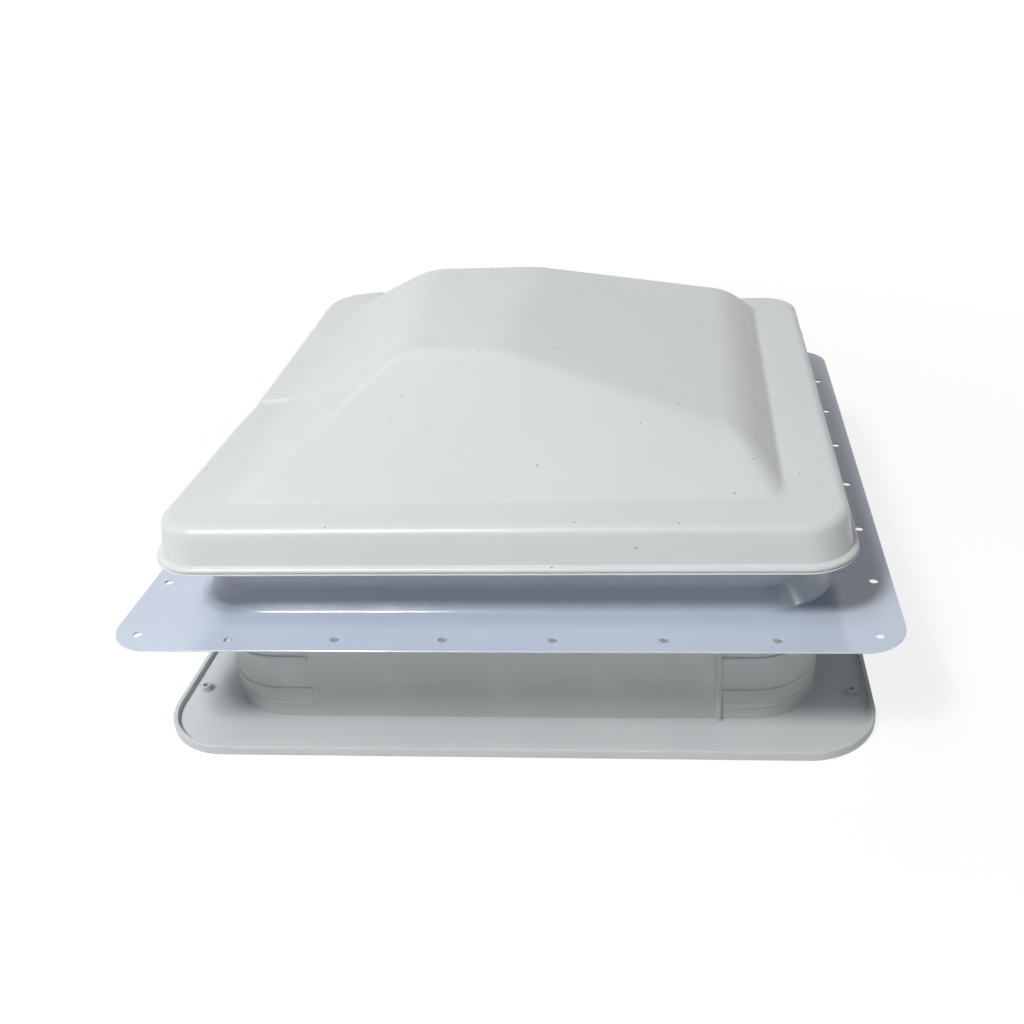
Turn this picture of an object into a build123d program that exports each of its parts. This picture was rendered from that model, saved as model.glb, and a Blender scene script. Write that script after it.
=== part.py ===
from build123d import *
from math import asin, atan2, cos, degrees, pi, radians, sin, sqrt
import os

os.makedirs("parts", exist_ok=True)

# Caravan roof vent, standing on the room face of its inside trim.
# +Z is up, +Y points to the hinge side, and the origin is under the centre of the throat.

# Square cut-out in the roof that the vent fits, a common size on caravans
roof_cutout = 360.0

# Clearances for running fits, seated faces and cuts
running_clearance = 0.05
seat_clearance = 0.2
side_clearance = 0.3
cut_overrun = 1.0

# Roof flange, one deep-drawn sheet steel pressing
flange_ledge = 46.5
flange_top = 80.5
flange_corner_radius = 25.0
sheet = 1.0
collar_step = 15.0
collar_corner_radius = 34.0
root_radius = 18.0
collar_rise = 49.5
roof_hole_radius = 2.6
roof_end_margin = 69.0
roof_holes_per_side = 6
roof_row_inset = 10.5
roof_corner_inset = 15.0

# Lid, one moulding with a raised form over the throat
lid_overlap = 22.5
lid_shift = 7.1
lid_wall = 2.5
lip_drop = 12.7
lip_height = 4.0
lip_overhang = 3.7
lip_corner_radius = 30.5
lip_rounding = 1.6
deck_rise = 12.4
deck_draw_in = 5.9
deck_edge_radius = 5.5
form_rise = 44.8
form_rounding = 9.0
front_foot_inset = 29.3
front_slope_angle = 21.0
left_slope_angle = 28.4
left_slope_turn = 5.0
left_top_inset = 117.2
left_top_y = 49.1
right_fall_angle = 10.1
right_fall_start = 10.7
right_wall_angle = 42.0
side_foot_inset = 39.3
back_wall_angle = 63.4
ramp_angle = 6.0
ramp_turn = 31.4
ramp_start_y = 4.8
ramp_width = 77.0
ramp_end_angle = 25.0
pad_length = 37.0
pad_back_y = 18.0
pad_width = 35.0
seal_rib_width = 3.0

# Push-on rim seal
seal_leg = 2.0
seal_grip = 5.5
seal_bulb_height = 6.5
seal_bulb_rounding = 2.3
seal_slot_clearance = 0.15

# Hinges at the back of the lid
hinge_standoff = 5.0
hinge_drop = 11.0
hinge_inset = 62.5
hinge_pin_radius = 1.5
knuckle_radius = 3.0
knuckle_length = 12.0
knuckle_count = 5
leaf_thickness = 1.2
base_leaf_drop = 19.0
lid_leaf_rise = 15.0
lid_leaf_lean = 0.5
leaf_fixing_pitch = 22.0
leaf_screw_radius = 1.3
leaf_screw_length = 4.2
leaf_screw_head_radius = 2.6
leaf_screw_head_height = 0.9
pin_head_radius = 2.4
pin_head_height = 1.0
rivet_radius = 1.6
rivet_head_radius = 3.0
rivet_head_height = 1.2
rivet_tail_height = 0.8

# Lift arm, its shaft and the worm gear that turns it
arm_pivot_y = 60.0
arm_pivot_drop = 27.0
arm_length = 130.0
arm_thickness = 3.0
arm_hub_radius = 10.0
arm_tip_radius = 7.0
arm_slot_width = 5.0
arm_slot_length = 60.0
arm_plane_inset = 41.0
arm_shaft_radius = 4.0
arm_square = 5.6
arm_screw_radius = 2.0
arm_screw_length = 8.0
arm_screw_head_radius = 3.8
arm_screw_head_height = 2.2
arm_washer_radius = 6.0
arm_washer_thickness = 0.8
wheel_inset = 22.5
wheel_teeth = 20
wheel_module = 1.25
wheel_face_width = 8.0
wheel_hub_radius = 7.0
wheel_space_width = 2.4
wheel_addendum = 1.0
wheel_dedendum = 1.6
wheel_pin_radius = 1.0
wheel_pin_inset = 2.3
worm_leads_below = 2
worm_pitch_radius = 5.5
worm_turns = 4
thread_height = 2.6
thread_root_width = 1.7
thread_tip_width = 0.9
worm_shaft_radius = 4.0
worm_shoulder_radius = 5.4
worm_shoulder_length = 3.4

# Gearbox housing on the right wall of the collar
housing_wall = 2.5
housing_room = 1.3
housing_ear = 12.0
housing_ear_height = 20.0
housing_ear_rise = 5.0
housing_rivet_pitch = 12.0
arm_cover_gap = 1.5
cover_screw_sink = 1.6
lug_width = 6.0
lug_length = 8.5
cover_screw_front = 7.0
cover_screw_back = 12.0
cover_screw_radius = 1.3
cover_screw_length = 9.0
cover_screw_head_radius = 2.5
cover_screw_head_height = 1.4
bush_wall = 2.0
bush_flange_width = 1.5
bush_flange = 1.2

# Roller and its rail under the lid
roller_radius = 6.0
roller_width = 9.5
roller_pin_radius = 2.5
roller_head_radius = 4.0
roller_head_height = 1.0
roller_shoulder_radius = 3.6
roller_shoulder_length = 2.2
rail_sheet = 1.5
rail_depth = 15.0
rail_arm_gap = 0.5
rail_float = 0.7
rail_front_end = 76.0
rail_back_end = 56.0
rail_tab = 19.0
rail_tab_rounding = 3.0
rail_screw_inset = 9.0
rail_screw_radius = 1.6
rail_screw_length = 11.0
rail_screw_head_radius = 3.4
rail_screw_head_height = 1.8
rail_post_radius = 5.0

# Crank knob and the square end of the worm shaft
knob_radius = 21.0
knob_bottom = 12.0
knob_height = 20.0
knob_scallops = 8
knob_scallop_radius = 6.0
knob_scallop_depth = 2.6
knob_crest_rounding = 2.0
knob_rounding = 1.5
knob_hub_radius = 8.0
knob_hub_height = 6.0
knob_recess_radius = 5.0
knob_recess = 4.0
knob_web = 2.0
shaft_square = 5.6
knob_screw_radius = 1.5
knob_screw_length = 9.0
knob_screw_head_radius = 3.0
knob_screw_head_height = 2.0

# Inside trim
trim_margin = 32.5
trim_corner_radius = 42.0
trim_panel = 3.0
trim_lip_height = 8.5
trim_lip_width = 2.7
trim_edge_rounding = 1.5
sleeve_gap = 1.0
sleeve_draw_in = 1.0
sleeve_corner_radius = 40.0
sleeve_wall = 2.5
ceiling_screw_inset_x = 11.5
ceiling_screw_inset_y = 57.5
ceiling_boss_radius = 3.5
ceiling_boss_height = 4.0
ceiling_hole_radius = 1.7
ceiling_sink_radius = 3.2
ceiling_sink_depth = 1.6
trim_rib_inset = 58.8
trim_rib_width = 3.1
trim_rib_depth = 1.8
band_height = 3.4
band_depth = 0.5
band_length = 58.0
band_bottoms = (11.1, 21.1, 43.8)

# Insect screen, its frame and the ledge that carries it
ledge_drop = 35.7
ledge_thickness = 2.0
ledge_width = 19.0
frame_thickness = 4.0
frame_overlap = 2.0
frame_inner_radius = 22.0
frame_edge_gap = 1.5
net_tuck = 4.0
net_thickness = 0.8
net_rebate = 1.0
net_rows = 72
net_columns = 4
net_bar = 1.2
port_radius = 6.0
port_rim = 9.0
screen_screw_offset = 58.0
screen_screw_inset = 8.5
screen_screw_radius = 1.3
screen_screw_length = 8.0
screen_screw_head_radius = 3.5
screen_screw_head_height = 2.0
screen_boss_radius = 4.5
screen_boss_height = 7.5

# Widths, heights and places that follow from the sizes above
collar_width = roof_cutout - collar_step
flange_width = collar_width + 2 * flange_ledge
roof_hole_pitch = (flange_width - 2 * roof_end_margin) / (roof_holes_per_side - 1)
collar_top = flange_top + collar_rise
lid_width = collar_width + 2 * lid_overlap
lip_bottom = collar_top - lip_drop
deck_height = collar_top + deck_rise
sleeve_width = roof_cutout - 2 * sleeve_gap
trim_width = sleeve_width + 2 * trim_margin
ceiling_screw_spacing_x = trim_width - 2 * ceiling_screw_inset_x
ceiling_screw_spacing_y = trim_width - 2 * ceiling_screw_inset_y
flange_reach = flange_width / 2
flange_bottom = flange_top - sheet
collar_reach = collar_width / 2
collar_inner_reach = collar_reach - sheet
collar_inner_radius = collar_corner_radius - sheet
roof_row_reach = flange_reach - roof_row_inset
roof_corner_reach = flange_reach - roof_corner_inset
lid_reach = lid_width / 2
front_foot_reach = lid_reach - front_foot_inset
side_foot_reach = lid_reach - side_foot_inset
left_top_x = lid_reach - left_top_inset
ramp_end_x = lid_reach - ramp_width
pad_inner_x = lid_reach - pad_width
lip_top = lip_bottom + lip_height
skirt_reach = lid_reach - lip_overhang
skirt_radius = lip_corner_radius - lip_overhang
deck_reach = lid_reach - deck_draw_in
plateau_height = deck_height + form_rise
seal_top = collar_top + seal_bulb_height
seal_bottom = collar_top - seal_grip
trim_reach = trim_width / 2
sleeve_reach = sleeve_width / 2
trim_rib_x = sleeve_reach - trim_rib_inset
band_reach = sleeve_reach - band_length
ledge_bottom = flange_top - ledge_drop
ledge_inner_reach = sleeve_reach - ledge_width
frame_inner_reach = ledge_inner_reach - frame_overlap
net_reach = frame_inner_reach + net_tuck
screen_screw_x = frame_inner_reach - screen_screw_offset
hinge_axis_y = collar_reach + hinge_standoff
hinge_axis_z = collar_top - hinge_drop
hinge_spacing = collar_width - 2 * hinge_inset
arm_pivot_z = collar_top - arm_pivot_drop
arm_plane_x = collar_reach - arm_plane_inset
wheel_x = collar_reach - wheel_inset
track_height = collar_top
wheel_pitch_radius = wheel_module * wheel_teeth / 2
wheel_tip_radius = wheel_pitch_radius + wheel_addendum
wheel_root_radius = wheel_pitch_radius - wheel_dedendum
worm_lead = wheel_module * pi
worm_y = arm_pivot_y - wheel_pitch_radius - worm_pitch_radius
worm_tip_radius = worm_shaft_radius + thread_height
arm_rest_angle = asin((track_height - arm_pivot_z) / arm_length)
arm_tip_y = arm_pivot_y - arm_length * cos(arm_rest_angle)
housing_front_y = worm_y - worm_tip_radius - housing_room - housing_wall
housing_back_y = arm_pivot_y + wheel_tip_radius + housing_room + housing_wall
housing_bottom = arm_pivot_z - wheel_tip_radius - housing_room - housing_wall
housing_top = arm_pivot_z + wheel_tip_radius + housing_room + housing_wall
ear_centre_z = arm_pivot_z + housing_ear_rise
housing_rivet_places = [
    (y, ear_centre_z + side * housing_rivet_pitch / 2)
    for y in (housing_front_y - housing_ear / 2, housing_back_y + housing_ear / 2)
    for side in (-1, 1)
]
base_rivet_z = hinge_axis_z - base_leaf_drop / 2 - knuckle_radius
hinge_centres = {"left": -hinge_spacing / 2, "right": hinge_spacing / 2}
leaf_fixings = [-leaf_fixing_pitch, 0, leaf_fixing_pitch]
leaf_length = knuckle_count * knuckle_length
base_leaf_bottom = hinge_axis_z - base_leaf_drop
base_leaf_top = hinge_axis_z - leaf_thickness / 2
lid_leaf_y = hinge_axis_y + lid_leaf_lean
lid_leaf_bottom = hinge_axis_z + knuckle_radius + side_clearance
lid_leaf_screw_z = lid_leaf_bottom + lid_leaf_rise / 2
pad_face_y = lid_leaf_y + leaf_thickness
lid_rib_bottom = seal_top + seat_clearance
lid_rib_reach = collar_reach - sheet / 2
cover_face_x = arm_plane_x + arm_thickness + arm_cover_gap
housing_open_x = cover_face_x + housing_wall
housing_floor_x = collar_inner_reach - housing_wall
housing_floor_z = housing_bottom + housing_wall
housing_ceiling_z = housing_top - housing_wall
cover_screw_places = [
    (arm_pivot_y + along, edge + side * lug_width / 2)
    for along in (-cover_screw_front, cover_screw_back)
    for side, edge in ((-1, housing_bottom), (1, housing_top))
]
bush_radius = worm_shaft_radius + bush_wall
bush_flange_radius = bush_radius + bush_flange_width
wheel_hub_start = housing_open_x + bush_flange + side_clearance
wheel_hub_end = housing_floor_x - bush_flange - side_clearance
roller_end_x = arm_plane_x - roller_shoulder_length - side_clearance
roller_start_x = roller_end_x - roller_width
rail_open_x = arm_plane_x - rail_arm_gap
rail_web_x = rail_open_x - rail_depth
rail_centre_x = rail_open_x - rail_depth / 2
rail_inner_reach = roller_radius + rail_float
rail_outer_reach = rail_inner_reach + rail_sheet
rail_top = track_height + rail_outer_reach
rail_screw_ys = (
    -rail_front_end - rail_tab + rail_screw_inset,
    rail_back_end + rail_tab - rail_screw_inset,
)
knob_top = knob_bottom + knob_height
knob_hub_top = knob_top + knob_hub_height
knob_seat = knob_bottom + knob_recess
socket_floor = knob_seat + knob_web
shaft_end = socket_floor + seat_clearance
frame_bottom = ledge_bottom - frame_thickness
net_bottom = ledge_bottom - net_rebate
screen_screw_y = frame_inner_reach + screen_screw_inset + running_clearance
port_pad_radius = port_radius + port_rim


def rounded_square(reach, radius, mode=Mode.ADD):
    """A square of twice the reach with rounded corners, in the sketch being drawn."""
    return RectangleRounded(2 * reach, 2 * reach, radius, mode=mode)


def block(low, high, mode=Mode.ADD):
    """A block between two corners, in the part being built."""
    size = [b - a for a, b in zip(low, high)]
    with Locations(Vector(*low) + Vector(*size) / 2):
        Box(*size, mode=mode)


def rod(start, radius, length, along, mode=Mode.ADD):
    """A round rod from its start along +X, +Y or +Z, in the part being built."""
    turn = {"x": (0, 90, 0), "y": (-90, 0, 0), "z": (0, 0, 0)}[along]
    at_end = (Align.CENTER, Align.CENTER, Align.MIN)
    with Locations([start]):
        Cylinder(radius, length, rotation=turn, align=at_end, mode=mode)


def seat_height(reach, radius):
    """Height at which a rounded square of this reach meets the flange's bend from below."""
    bend = root_radius + sheet
    diagonal = (reach - radius) * sqrt(2) + radius
    collar_diagonal = (collar_reach - collar_corner_radius) * sqrt(2) + collar_corner_radius
    gaps = (reach - collar_reach, diagonal - collar_diagonal)
    return min(flange_top + root_radius - sqrt(bend**2 - (root_radius - gap) ** 2) for gap in gaps)


sleeve_top_reach = sleeve_reach - sleeve_draw_in
sleeve_top_radius = sleeve_corner_radius - sleeve_draw_in
sleeve_top = seat_height(sleeve_top_reach, sleeve_top_radius) - seat_clearance


def sleeve_inner_reach(height):
    """Half the clear width inside the tapered sleeve at a height."""
    return sleeve_reach - sleeve_wall - sleeve_draw_in * height / sleeve_top


def drawn_collar(reach, radius, bend, foot, floor, top):
    """A square column on a flat plate with a rounded root, as a drawing die shapes the flange."""
    with BuildPart() as form:
        with BuildSketch(Plane.XY.offset(foot)):
            rounded_square(flange_reach, flange_corner_radius)
        extrude(amount=floor - foot)
        with BuildSketch(Plane.XY.offset(floor)):
            rounded_square(reach, radius)
        extrude(amount=top - floor)
        at_floor = form.edges().filter_by_position(Axis.Z, floor, floor)
        root = [e for e in at_floor if max(abs(e.center().X), abs(e.center().Y)) < reach + sheet]
        fillet(root, bend)
    return form.part


flange_outside = drawn_collar(
    collar_reach, collar_corner_radius, root_radius, flange_bottom, flange_top, collar_top
)
throat_void = drawn_collar(
    collar_inner_reach,
    collar_inner_radius,
    root_radius + sheet,
    flange_bottom - cut_overrun,
    flange_bottom,
    collar_top + cut_overrun,
)

# Roof flange with its collar, its screw holes and the rivet holes of the hinges and the gearbox
with BuildPart() as roof_flange:
    add(flange_outside)
    add(throat_void, mode=Mode.SUBTRACT)
    with BuildSketch(Plane.XY.offset(flange_top)):
        with GridLocations(roof_hole_pitch, 2 * roof_row_reach, roof_holes_per_side, 2):
            Circle(roof_hole_radius)
        with GridLocations(2 * roof_row_reach, roof_hole_pitch, 2, roof_holes_per_side):
            Circle(roof_hole_radius)
        with GridLocations(2 * roof_corner_reach, 2 * roof_corner_reach, 2, 2):
            Circle(roof_hole_radius)
    extrude(amount=-sheet, mode=Mode.SUBTRACT)
    for centre in hinge_centres.values():
        for place in leaf_fixings:
            start = (centre + place, collar_inner_reach, base_rivet_z)
            rod(start, rivet_radius + running_clearance, sheet, "y", Mode.SUBTRACT)
    for y, z in housing_rivet_places:
        start = (collar_inner_reach, y, z)
        rod(start, rivet_radius + running_clearance, sheet, "x", Mode.SUBTRACT)
roof_flange.part.label = "roof_flange"
export_step(roof_flange.part, "parts/roof_flange.step")

# Rubber seal pushed onto the collar's rim, with a round top for the lid's rib
with BuildPart() as rim_seal:
    with BuildSketch(Plane.XY.offset(seal_bottom)):
        rounded_square(collar_reach + seal_leg, collar_corner_radius + seal_leg)
        inner_reach = collar_inner_reach - seal_leg
        rounded_square(inner_reach, collar_inner_radius - seal_leg, Mode.SUBTRACT)
    extrude(amount=seal_top - seal_bottom)
    fillet(rim_seal.edges().filter_by_position(Axis.Z, seal_top, seal_top), seal_bulb_rounding)
    with BuildSketch(Plane.XY.offset(seal_bottom)):
        slot_side = seal_slot_clearance
        rounded_square(collar_reach + slot_side, collar_corner_radius + slot_side)
        slot_inner = collar_inner_reach - slot_side
        rounded_square(slot_inner, collar_inner_radius - slot_side, Mode.SUBTRACT)
    extrude(amount=collar_top - seal_bottom, mode=Mode.SUBTRACT)
rim_seal.part.label = "rim_seal"
export_step(rim_seal.part, "parts/rim_seal.step")


def facing(bearing, angle, point, inset):
    """A sloping face through a point, set in by the wall, that looks up and along its bearing."""
    level = sin(radians(angle))
    bearing = radians(bearing)
    outward = Vector(level * cos(bearing), level * sin(bearing), cos(radians(angle)))
    return Plane(origin=Vector(*point) - outward * inset, z_dir=outward)


def skirt_section(height, inset):
    """Reach and corner radius of the tapered skirt at a height."""
    draw_in = (skirt_reach - deck_reach) * (height - lip_top) / (deck_height - lip_top)
    return skirt_reach - draw_in - inset, skirt_radius - draw_in - inset


def skirt_body(foot, top, inset):
    """The lid's tapered square body between two heights."""
    with BuildPart() as body:
        for height in (foot, top):
            with BuildSketch(Plane.XY.offset(height)):
                with Locations((0, -lid_shift)):
                    rounded_square(*skirt_section(height, inset))
        loft()
    return body.part


def raised_form(inset):
    """The five-sided hump: plateau, front and left slopes, right fall, right and back walls."""
    corner = (-left_top_x, -left_top_y, plateau_height)
    slopes = [
        facing(-90, front_slope_angle, (0, -front_foot_reach, deck_height), inset),
        facing(180 + left_slope_turn, left_slope_angle, corner, inset),
        facing(0, right_fall_angle, (-right_fall_start, 0, plateau_height), inset),
        facing(0, right_wall_angle, (side_foot_reach, 0, deck_height), inset),
        facing(90, back_wall_angle, (0, side_foot_reach, deck_height), inset),
    ]
    foot = deck_height - inset - lid_wall / 2
    with BuildPart() as form:
        with BuildSketch(Plane.XY.offset(foot)):
            rounded_square(lid_reach, lip_corner_radius)
        extrude(amount=plateau_height - inset - foot)
        for slope in slopes:
            split(bisect_by=slope, keep=Keep.BOTTOM)
        upper = [e for e in form.edges() if e.bounding_box().max.Z > foot + lid_wall]
        fillet(upper, form_rounding - inset)
    return form.part


def left_ramp(inset):
    """The low ramp that rises over the deck's left side towards the back."""
    edge = (-deck_reach, ramp_start_y, deck_height)
    slopes = [
        facing(180 + ramp_turn, ramp_angle, edge, inset),
        facing(0, ramp_end_angle, (-ramp_end_x, 0, deck_height), inset),
    ]
    foot = deck_height - inset - deck_edge_radius
    with BuildPart() as ramp:
        add(skirt_body(foot, plateau_height, inset))
        for slope in slopes:
            split(bisect_by=slope, keep=Keep.BOTTOM)
    return ramp.part


def lid_form(inset, foot):
    """The lid's whole outline, set in by the wall for its hollow."""
    deck = deck_height - inset
    with BuildPart() as form:
        add(skirt_body(foot, deck, inset))
        fillet(form.edges().filter_by_position(Axis.Z, deck, deck), deck_edge_radius - inset)
        add(left_ramp(inset))
        pad_low = (-lid_reach, -pad_back_y - pad_length, deck)
        pad_high = (-pad_inner_x, -pad_back_y, plateau_height)
        block(pad_low, pad_high, Mode.SUBTRACT)
        add(raised_form(inset))
    return form.part


lid_outside = lid_form(0, lip_bottom)
lid_hollow = lid_form(lid_wall, lip_bottom - cut_overrun)

# Lid shell with its sealing rib, its hinge pads and the posts that carry the rail
with BuildPart() as lid_inside:
    with BuildSketch(Plane.XY.offset(lid_rib_bottom)):
        half_rib = seal_rib_width / 2
        rounded_square(lid_rib_reach + half_rib, collar_corner_radius + half_rib)
        rounded_square(lid_rib_reach - half_rib, collar_corner_radius - half_rib, Mode.SUBTRACT)
    extrude(amount=plateau_height - lid_rib_bottom)
    for centre in hinge_centres.values():
        low = (centre - leaf_length / 2, pad_face_y, lid_leaf_bottom)
        block(low, (centre + leaf_length / 2, lid_reach, lid_leaf_bottom + lid_leaf_rise))
    for y in rail_screw_ys:
        start = (rail_centre_x, y, rail_top + running_clearance)
        rod(start, rail_post_radius, plateau_height - rail_top, "z")
    add(lid_outside, mode=Mode.INTERSECT)

with BuildPart() as lid_shell:
    add(lid_outside)
    with BuildSketch(Plane.XY.offset(lip_bottom)):
        with Locations((0, -lid_shift)):
            rounded_square(lid_reach, lip_corner_radius)
    extrude(amount=lip_height)
    lip_edges = [
        e
        for z in (lip_bottom, lip_top)
        for e in lid_shell.edges().filter_by_position(Axis.Z, z, z)
        if max(abs(e.center().X), abs(e.center().Y + lid_shift)) > skirt_reach
    ]
    fillet(lip_edges, lip_rounding)
    add(lid_hollow, mode=Mode.SUBTRACT)
    add(lid_inside.part)
    for y in rail_screw_ys:
        start = (rail_centre_x, y, rail_top)
        length = rail_screw_length - rail_sheet + cut_overrun
        rod(start, rail_screw_radius + running_clearance, length, "z", Mode.SUBTRACT)
    for centre in hinge_centres.values():
        for place in leaf_fixings:
            start = (centre + place, pad_face_y, lid_leaf_screw_z)
            length = leaf_screw_length - leaf_thickness + seat_clearance
            rod(start, leaf_screw_radius + running_clearance, length, "y", Mode.SUBTRACT)
lid_shell.part.label = "lid_shell"
export_step(lid_shell.part, "parts/lid_shell.step")

# Rail under the lid: a channel open towards the arm, with a screwed tab at each end
with BuildPart() as track_rail:
    low = (rail_web_x, -rail_front_end, track_height - rail_outer_reach)
    block(low, (rail_open_x, rail_back_end, rail_top))
    low = (rail_web_x + rail_sheet, -rail_front_end, track_height - rail_inner_reach)
    block(low, (rail_open_x, rail_back_end, track_height + rail_inner_reach), Mode.SUBTRACT)
    low = (rail_web_x, -rail_front_end - rail_tab, rail_top - rail_sheet)
    block(low, (rail_open_x, rail_back_end + rail_tab, rail_top))
    upright = track_rail.edges().filter_by(Axis.Z)
    fillet([e for e in upright if e.length < rail_sheet + running_clearance], rail_tab_rounding)
    for y in rail_screw_ys:
        start = (rail_centre_x, y, rail_top - rail_sheet)
        rod(start, rail_screw_radius + running_clearance, rail_sheet, "z", Mode.SUBTRACT)
track_rail.part.label = "track_rail"
export_step(track_rail.part, "parts/track_rail.step")

# Two screws that hold the rail to the lid's posts
with BuildPart() as track_screws:
    for y in rail_screw_ys:
        seat = rail_top - rail_sheet
        rod((rail_centre_x, y, seat), rail_screw_radius, rail_screw_length, "z")
        start = (rail_centre_x, y, seat - rail_screw_head_height)
        rod(start, rail_screw_head_radius, rail_screw_head_height, "z")
track_screws.part.label = "track_screws"
export_step(track_screws.part, "parts/track_screws.step")


def knuckle_starts(centre, first):
    """Left ends of every second knuckle of a hinge, each short of its neighbours by half a gap."""
    left = centre - leaf_length / 2 + side_clearance / 2
    return [left + knuckle_length * i for i in range(first, knuckle_count, 2)]


knuckle_width = knuckle_length - side_clearance


def base_leaf(centre):
    """The leaf riveted to the collar, with three knuckles on its upper edge."""
    half = leaf_length / 2
    with BuildPart() as leaf:
        low = (centre - half, collar_reach, base_leaf_bottom)
        block(low, (centre + half, collar_reach + leaf_thickness, base_leaf_top))
        for x in knuckle_starts(centre, 0):
            low = (x, collar_reach, base_leaf_top - leaf_thickness)
            block(low, (x + knuckle_width, hinge_axis_y, base_leaf_top))
            rod((x, hinge_axis_y, hinge_axis_z), knuckle_radius, knuckle_width, "x")
        bore = hinge_pin_radius + running_clearance
        rod((centre - half, hinge_axis_y, hinge_axis_z), bore, leaf_length, "x", Mode.SUBTRACT)
        for place in leaf_fixings:
            start = (centre + place, collar_reach, base_rivet_z)
            rod(start, rivet_radius + running_clearance, leaf_thickness, "y", Mode.SUBTRACT)
    return leaf.part


def lid_leaf(centre):
    """The leaf screwed to the lid's pad, with two knuckles on its lower edge."""
    half = leaf_length / 2
    with BuildPart() as leaf:
        low = (centre - half, lid_leaf_y, lid_leaf_bottom)
        block(low, (centre + half, pad_face_y, lid_leaf_bottom + lid_leaf_rise))
        for x in knuckle_starts(centre, 1):
            low = (x, lid_leaf_y, hinge_axis_z)
            block(low, (x + knuckle_width, pad_face_y, lid_leaf_bottom))
            rod((x, hinge_axis_y, hinge_axis_z), knuckle_radius, knuckle_width, "x")
        bore = hinge_pin_radius + running_clearance
        rod((centre - half, hinge_axis_y, hinge_axis_z), bore, leaf_length, "x", Mode.SUBTRACT)
        for place in leaf_fixings:
            start = (centre + place, lid_leaf_y, lid_leaf_screw_z)
            rod(start, leaf_screw_radius + running_clearance, leaf_thickness, "y", Mode.SUBTRACT)
    return leaf.part


def hinge_pin(centre):
    """The pin of one hinge, with a head at each end."""
    start = centre - leaf_length / 2 - seat_clearance
    length = leaf_length + 2 * seat_clearance
    with BuildPart() as pin:
        rod((start, hinge_axis_y, hinge_axis_z), hinge_pin_radius, length, "x")
        for x in (start - pin_head_height, start + length):
            rod((x, hinge_axis_y, hinge_axis_z), pin_head_radius, pin_head_height, "x")
    return pin.part


# Left hinge
with BuildPart() as base_leaf_left:
    add(base_leaf(hinge_centres["left"]))
base_leaf_left.part.label = "base_leaf_left"
export_step(base_leaf_left.part, "parts/base_leaf_left.step")

with BuildPart() as lid_leaf_left:
    add(lid_leaf(hinge_centres["left"]))
lid_leaf_left.part.label = "lid_leaf_left"
export_step(lid_leaf_left.part, "parts/lid_leaf_left.step")

with BuildPart() as hinge_pin_left:
    add(hinge_pin(hinge_centres["left"]))
hinge_pin_left.part.label = "hinge_pin_left"
export_step(hinge_pin_left.part, "parts/hinge_pin_left.step")

# Right hinge
with BuildPart() as base_leaf_right:
    add(base_leaf(hinge_centres["right"]))
base_leaf_right.part.label = "base_leaf_right"
export_step(base_leaf_right.part, "parts/base_leaf_right.step")

with BuildPart() as lid_leaf_right:
    add(lid_leaf(hinge_centres["right"]))
lid_leaf_right.part.label = "lid_leaf_right"
export_step(lid_leaf_right.part, "parts/lid_leaf_right.step")

with BuildPart() as hinge_pin_right:
    add(hinge_pin(hinge_centres["right"]))
hinge_pin_right.part.label = "hinge_pin_right"
export_step(hinge_pin_right.part, "parts/hinge_pin_right.step")

# Rivets that hold the base leaves to the collar
rivet_tail_radius = rivet_head_radius - rivet_tail_height
with BuildPart() as base_leaf_rivets:
    for centre in hinge_centres.values():
        for place in leaf_fixings:
            x = centre + place
            start = collar_inner_reach
            grip = sheet + leaf_thickness
            rod((x, start, base_rivet_z), rivet_radius, grip, "y")
            tail = start - rivet_tail_height
            rod((x, tail, base_rivet_z), rivet_tail_radius, rivet_tail_height, "y")
            rod((x, start + grip, base_rivet_z), rivet_head_radius, rivet_head_height, "y")
    heads = base_leaf_rivets.faces().filter_by_position(
        Axis.Y, collar_reach + leaf_thickness + rivet_head_height, lid_reach
    )
    fillet(heads.edges(), rivet_tail_height)
base_leaf_rivets.part.label = "base_leaf_rivets"
export_step(base_leaf_rivets.part, "parts/base_leaf_rivets.step")

# Screws that hold the lid leaves to the lid's pads
with BuildPart() as lid_leaf_screws:
    for centre in hinge_centres.values():
        for place in leaf_fixings:
            x = centre + place
            rod((x, lid_leaf_y, lid_leaf_screw_z), leaf_screw_radius, leaf_screw_length, "y")
            start = (x, lid_leaf_y - leaf_screw_head_height, lid_leaf_screw_z)
            rod(start, leaf_screw_head_radius, leaf_screw_head_height, "y")
lid_leaf_screws.part.label = "lid_leaf_screws"
export_step(lid_leaf_screws.part, "parts/lid_leaf_screws.step")

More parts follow.
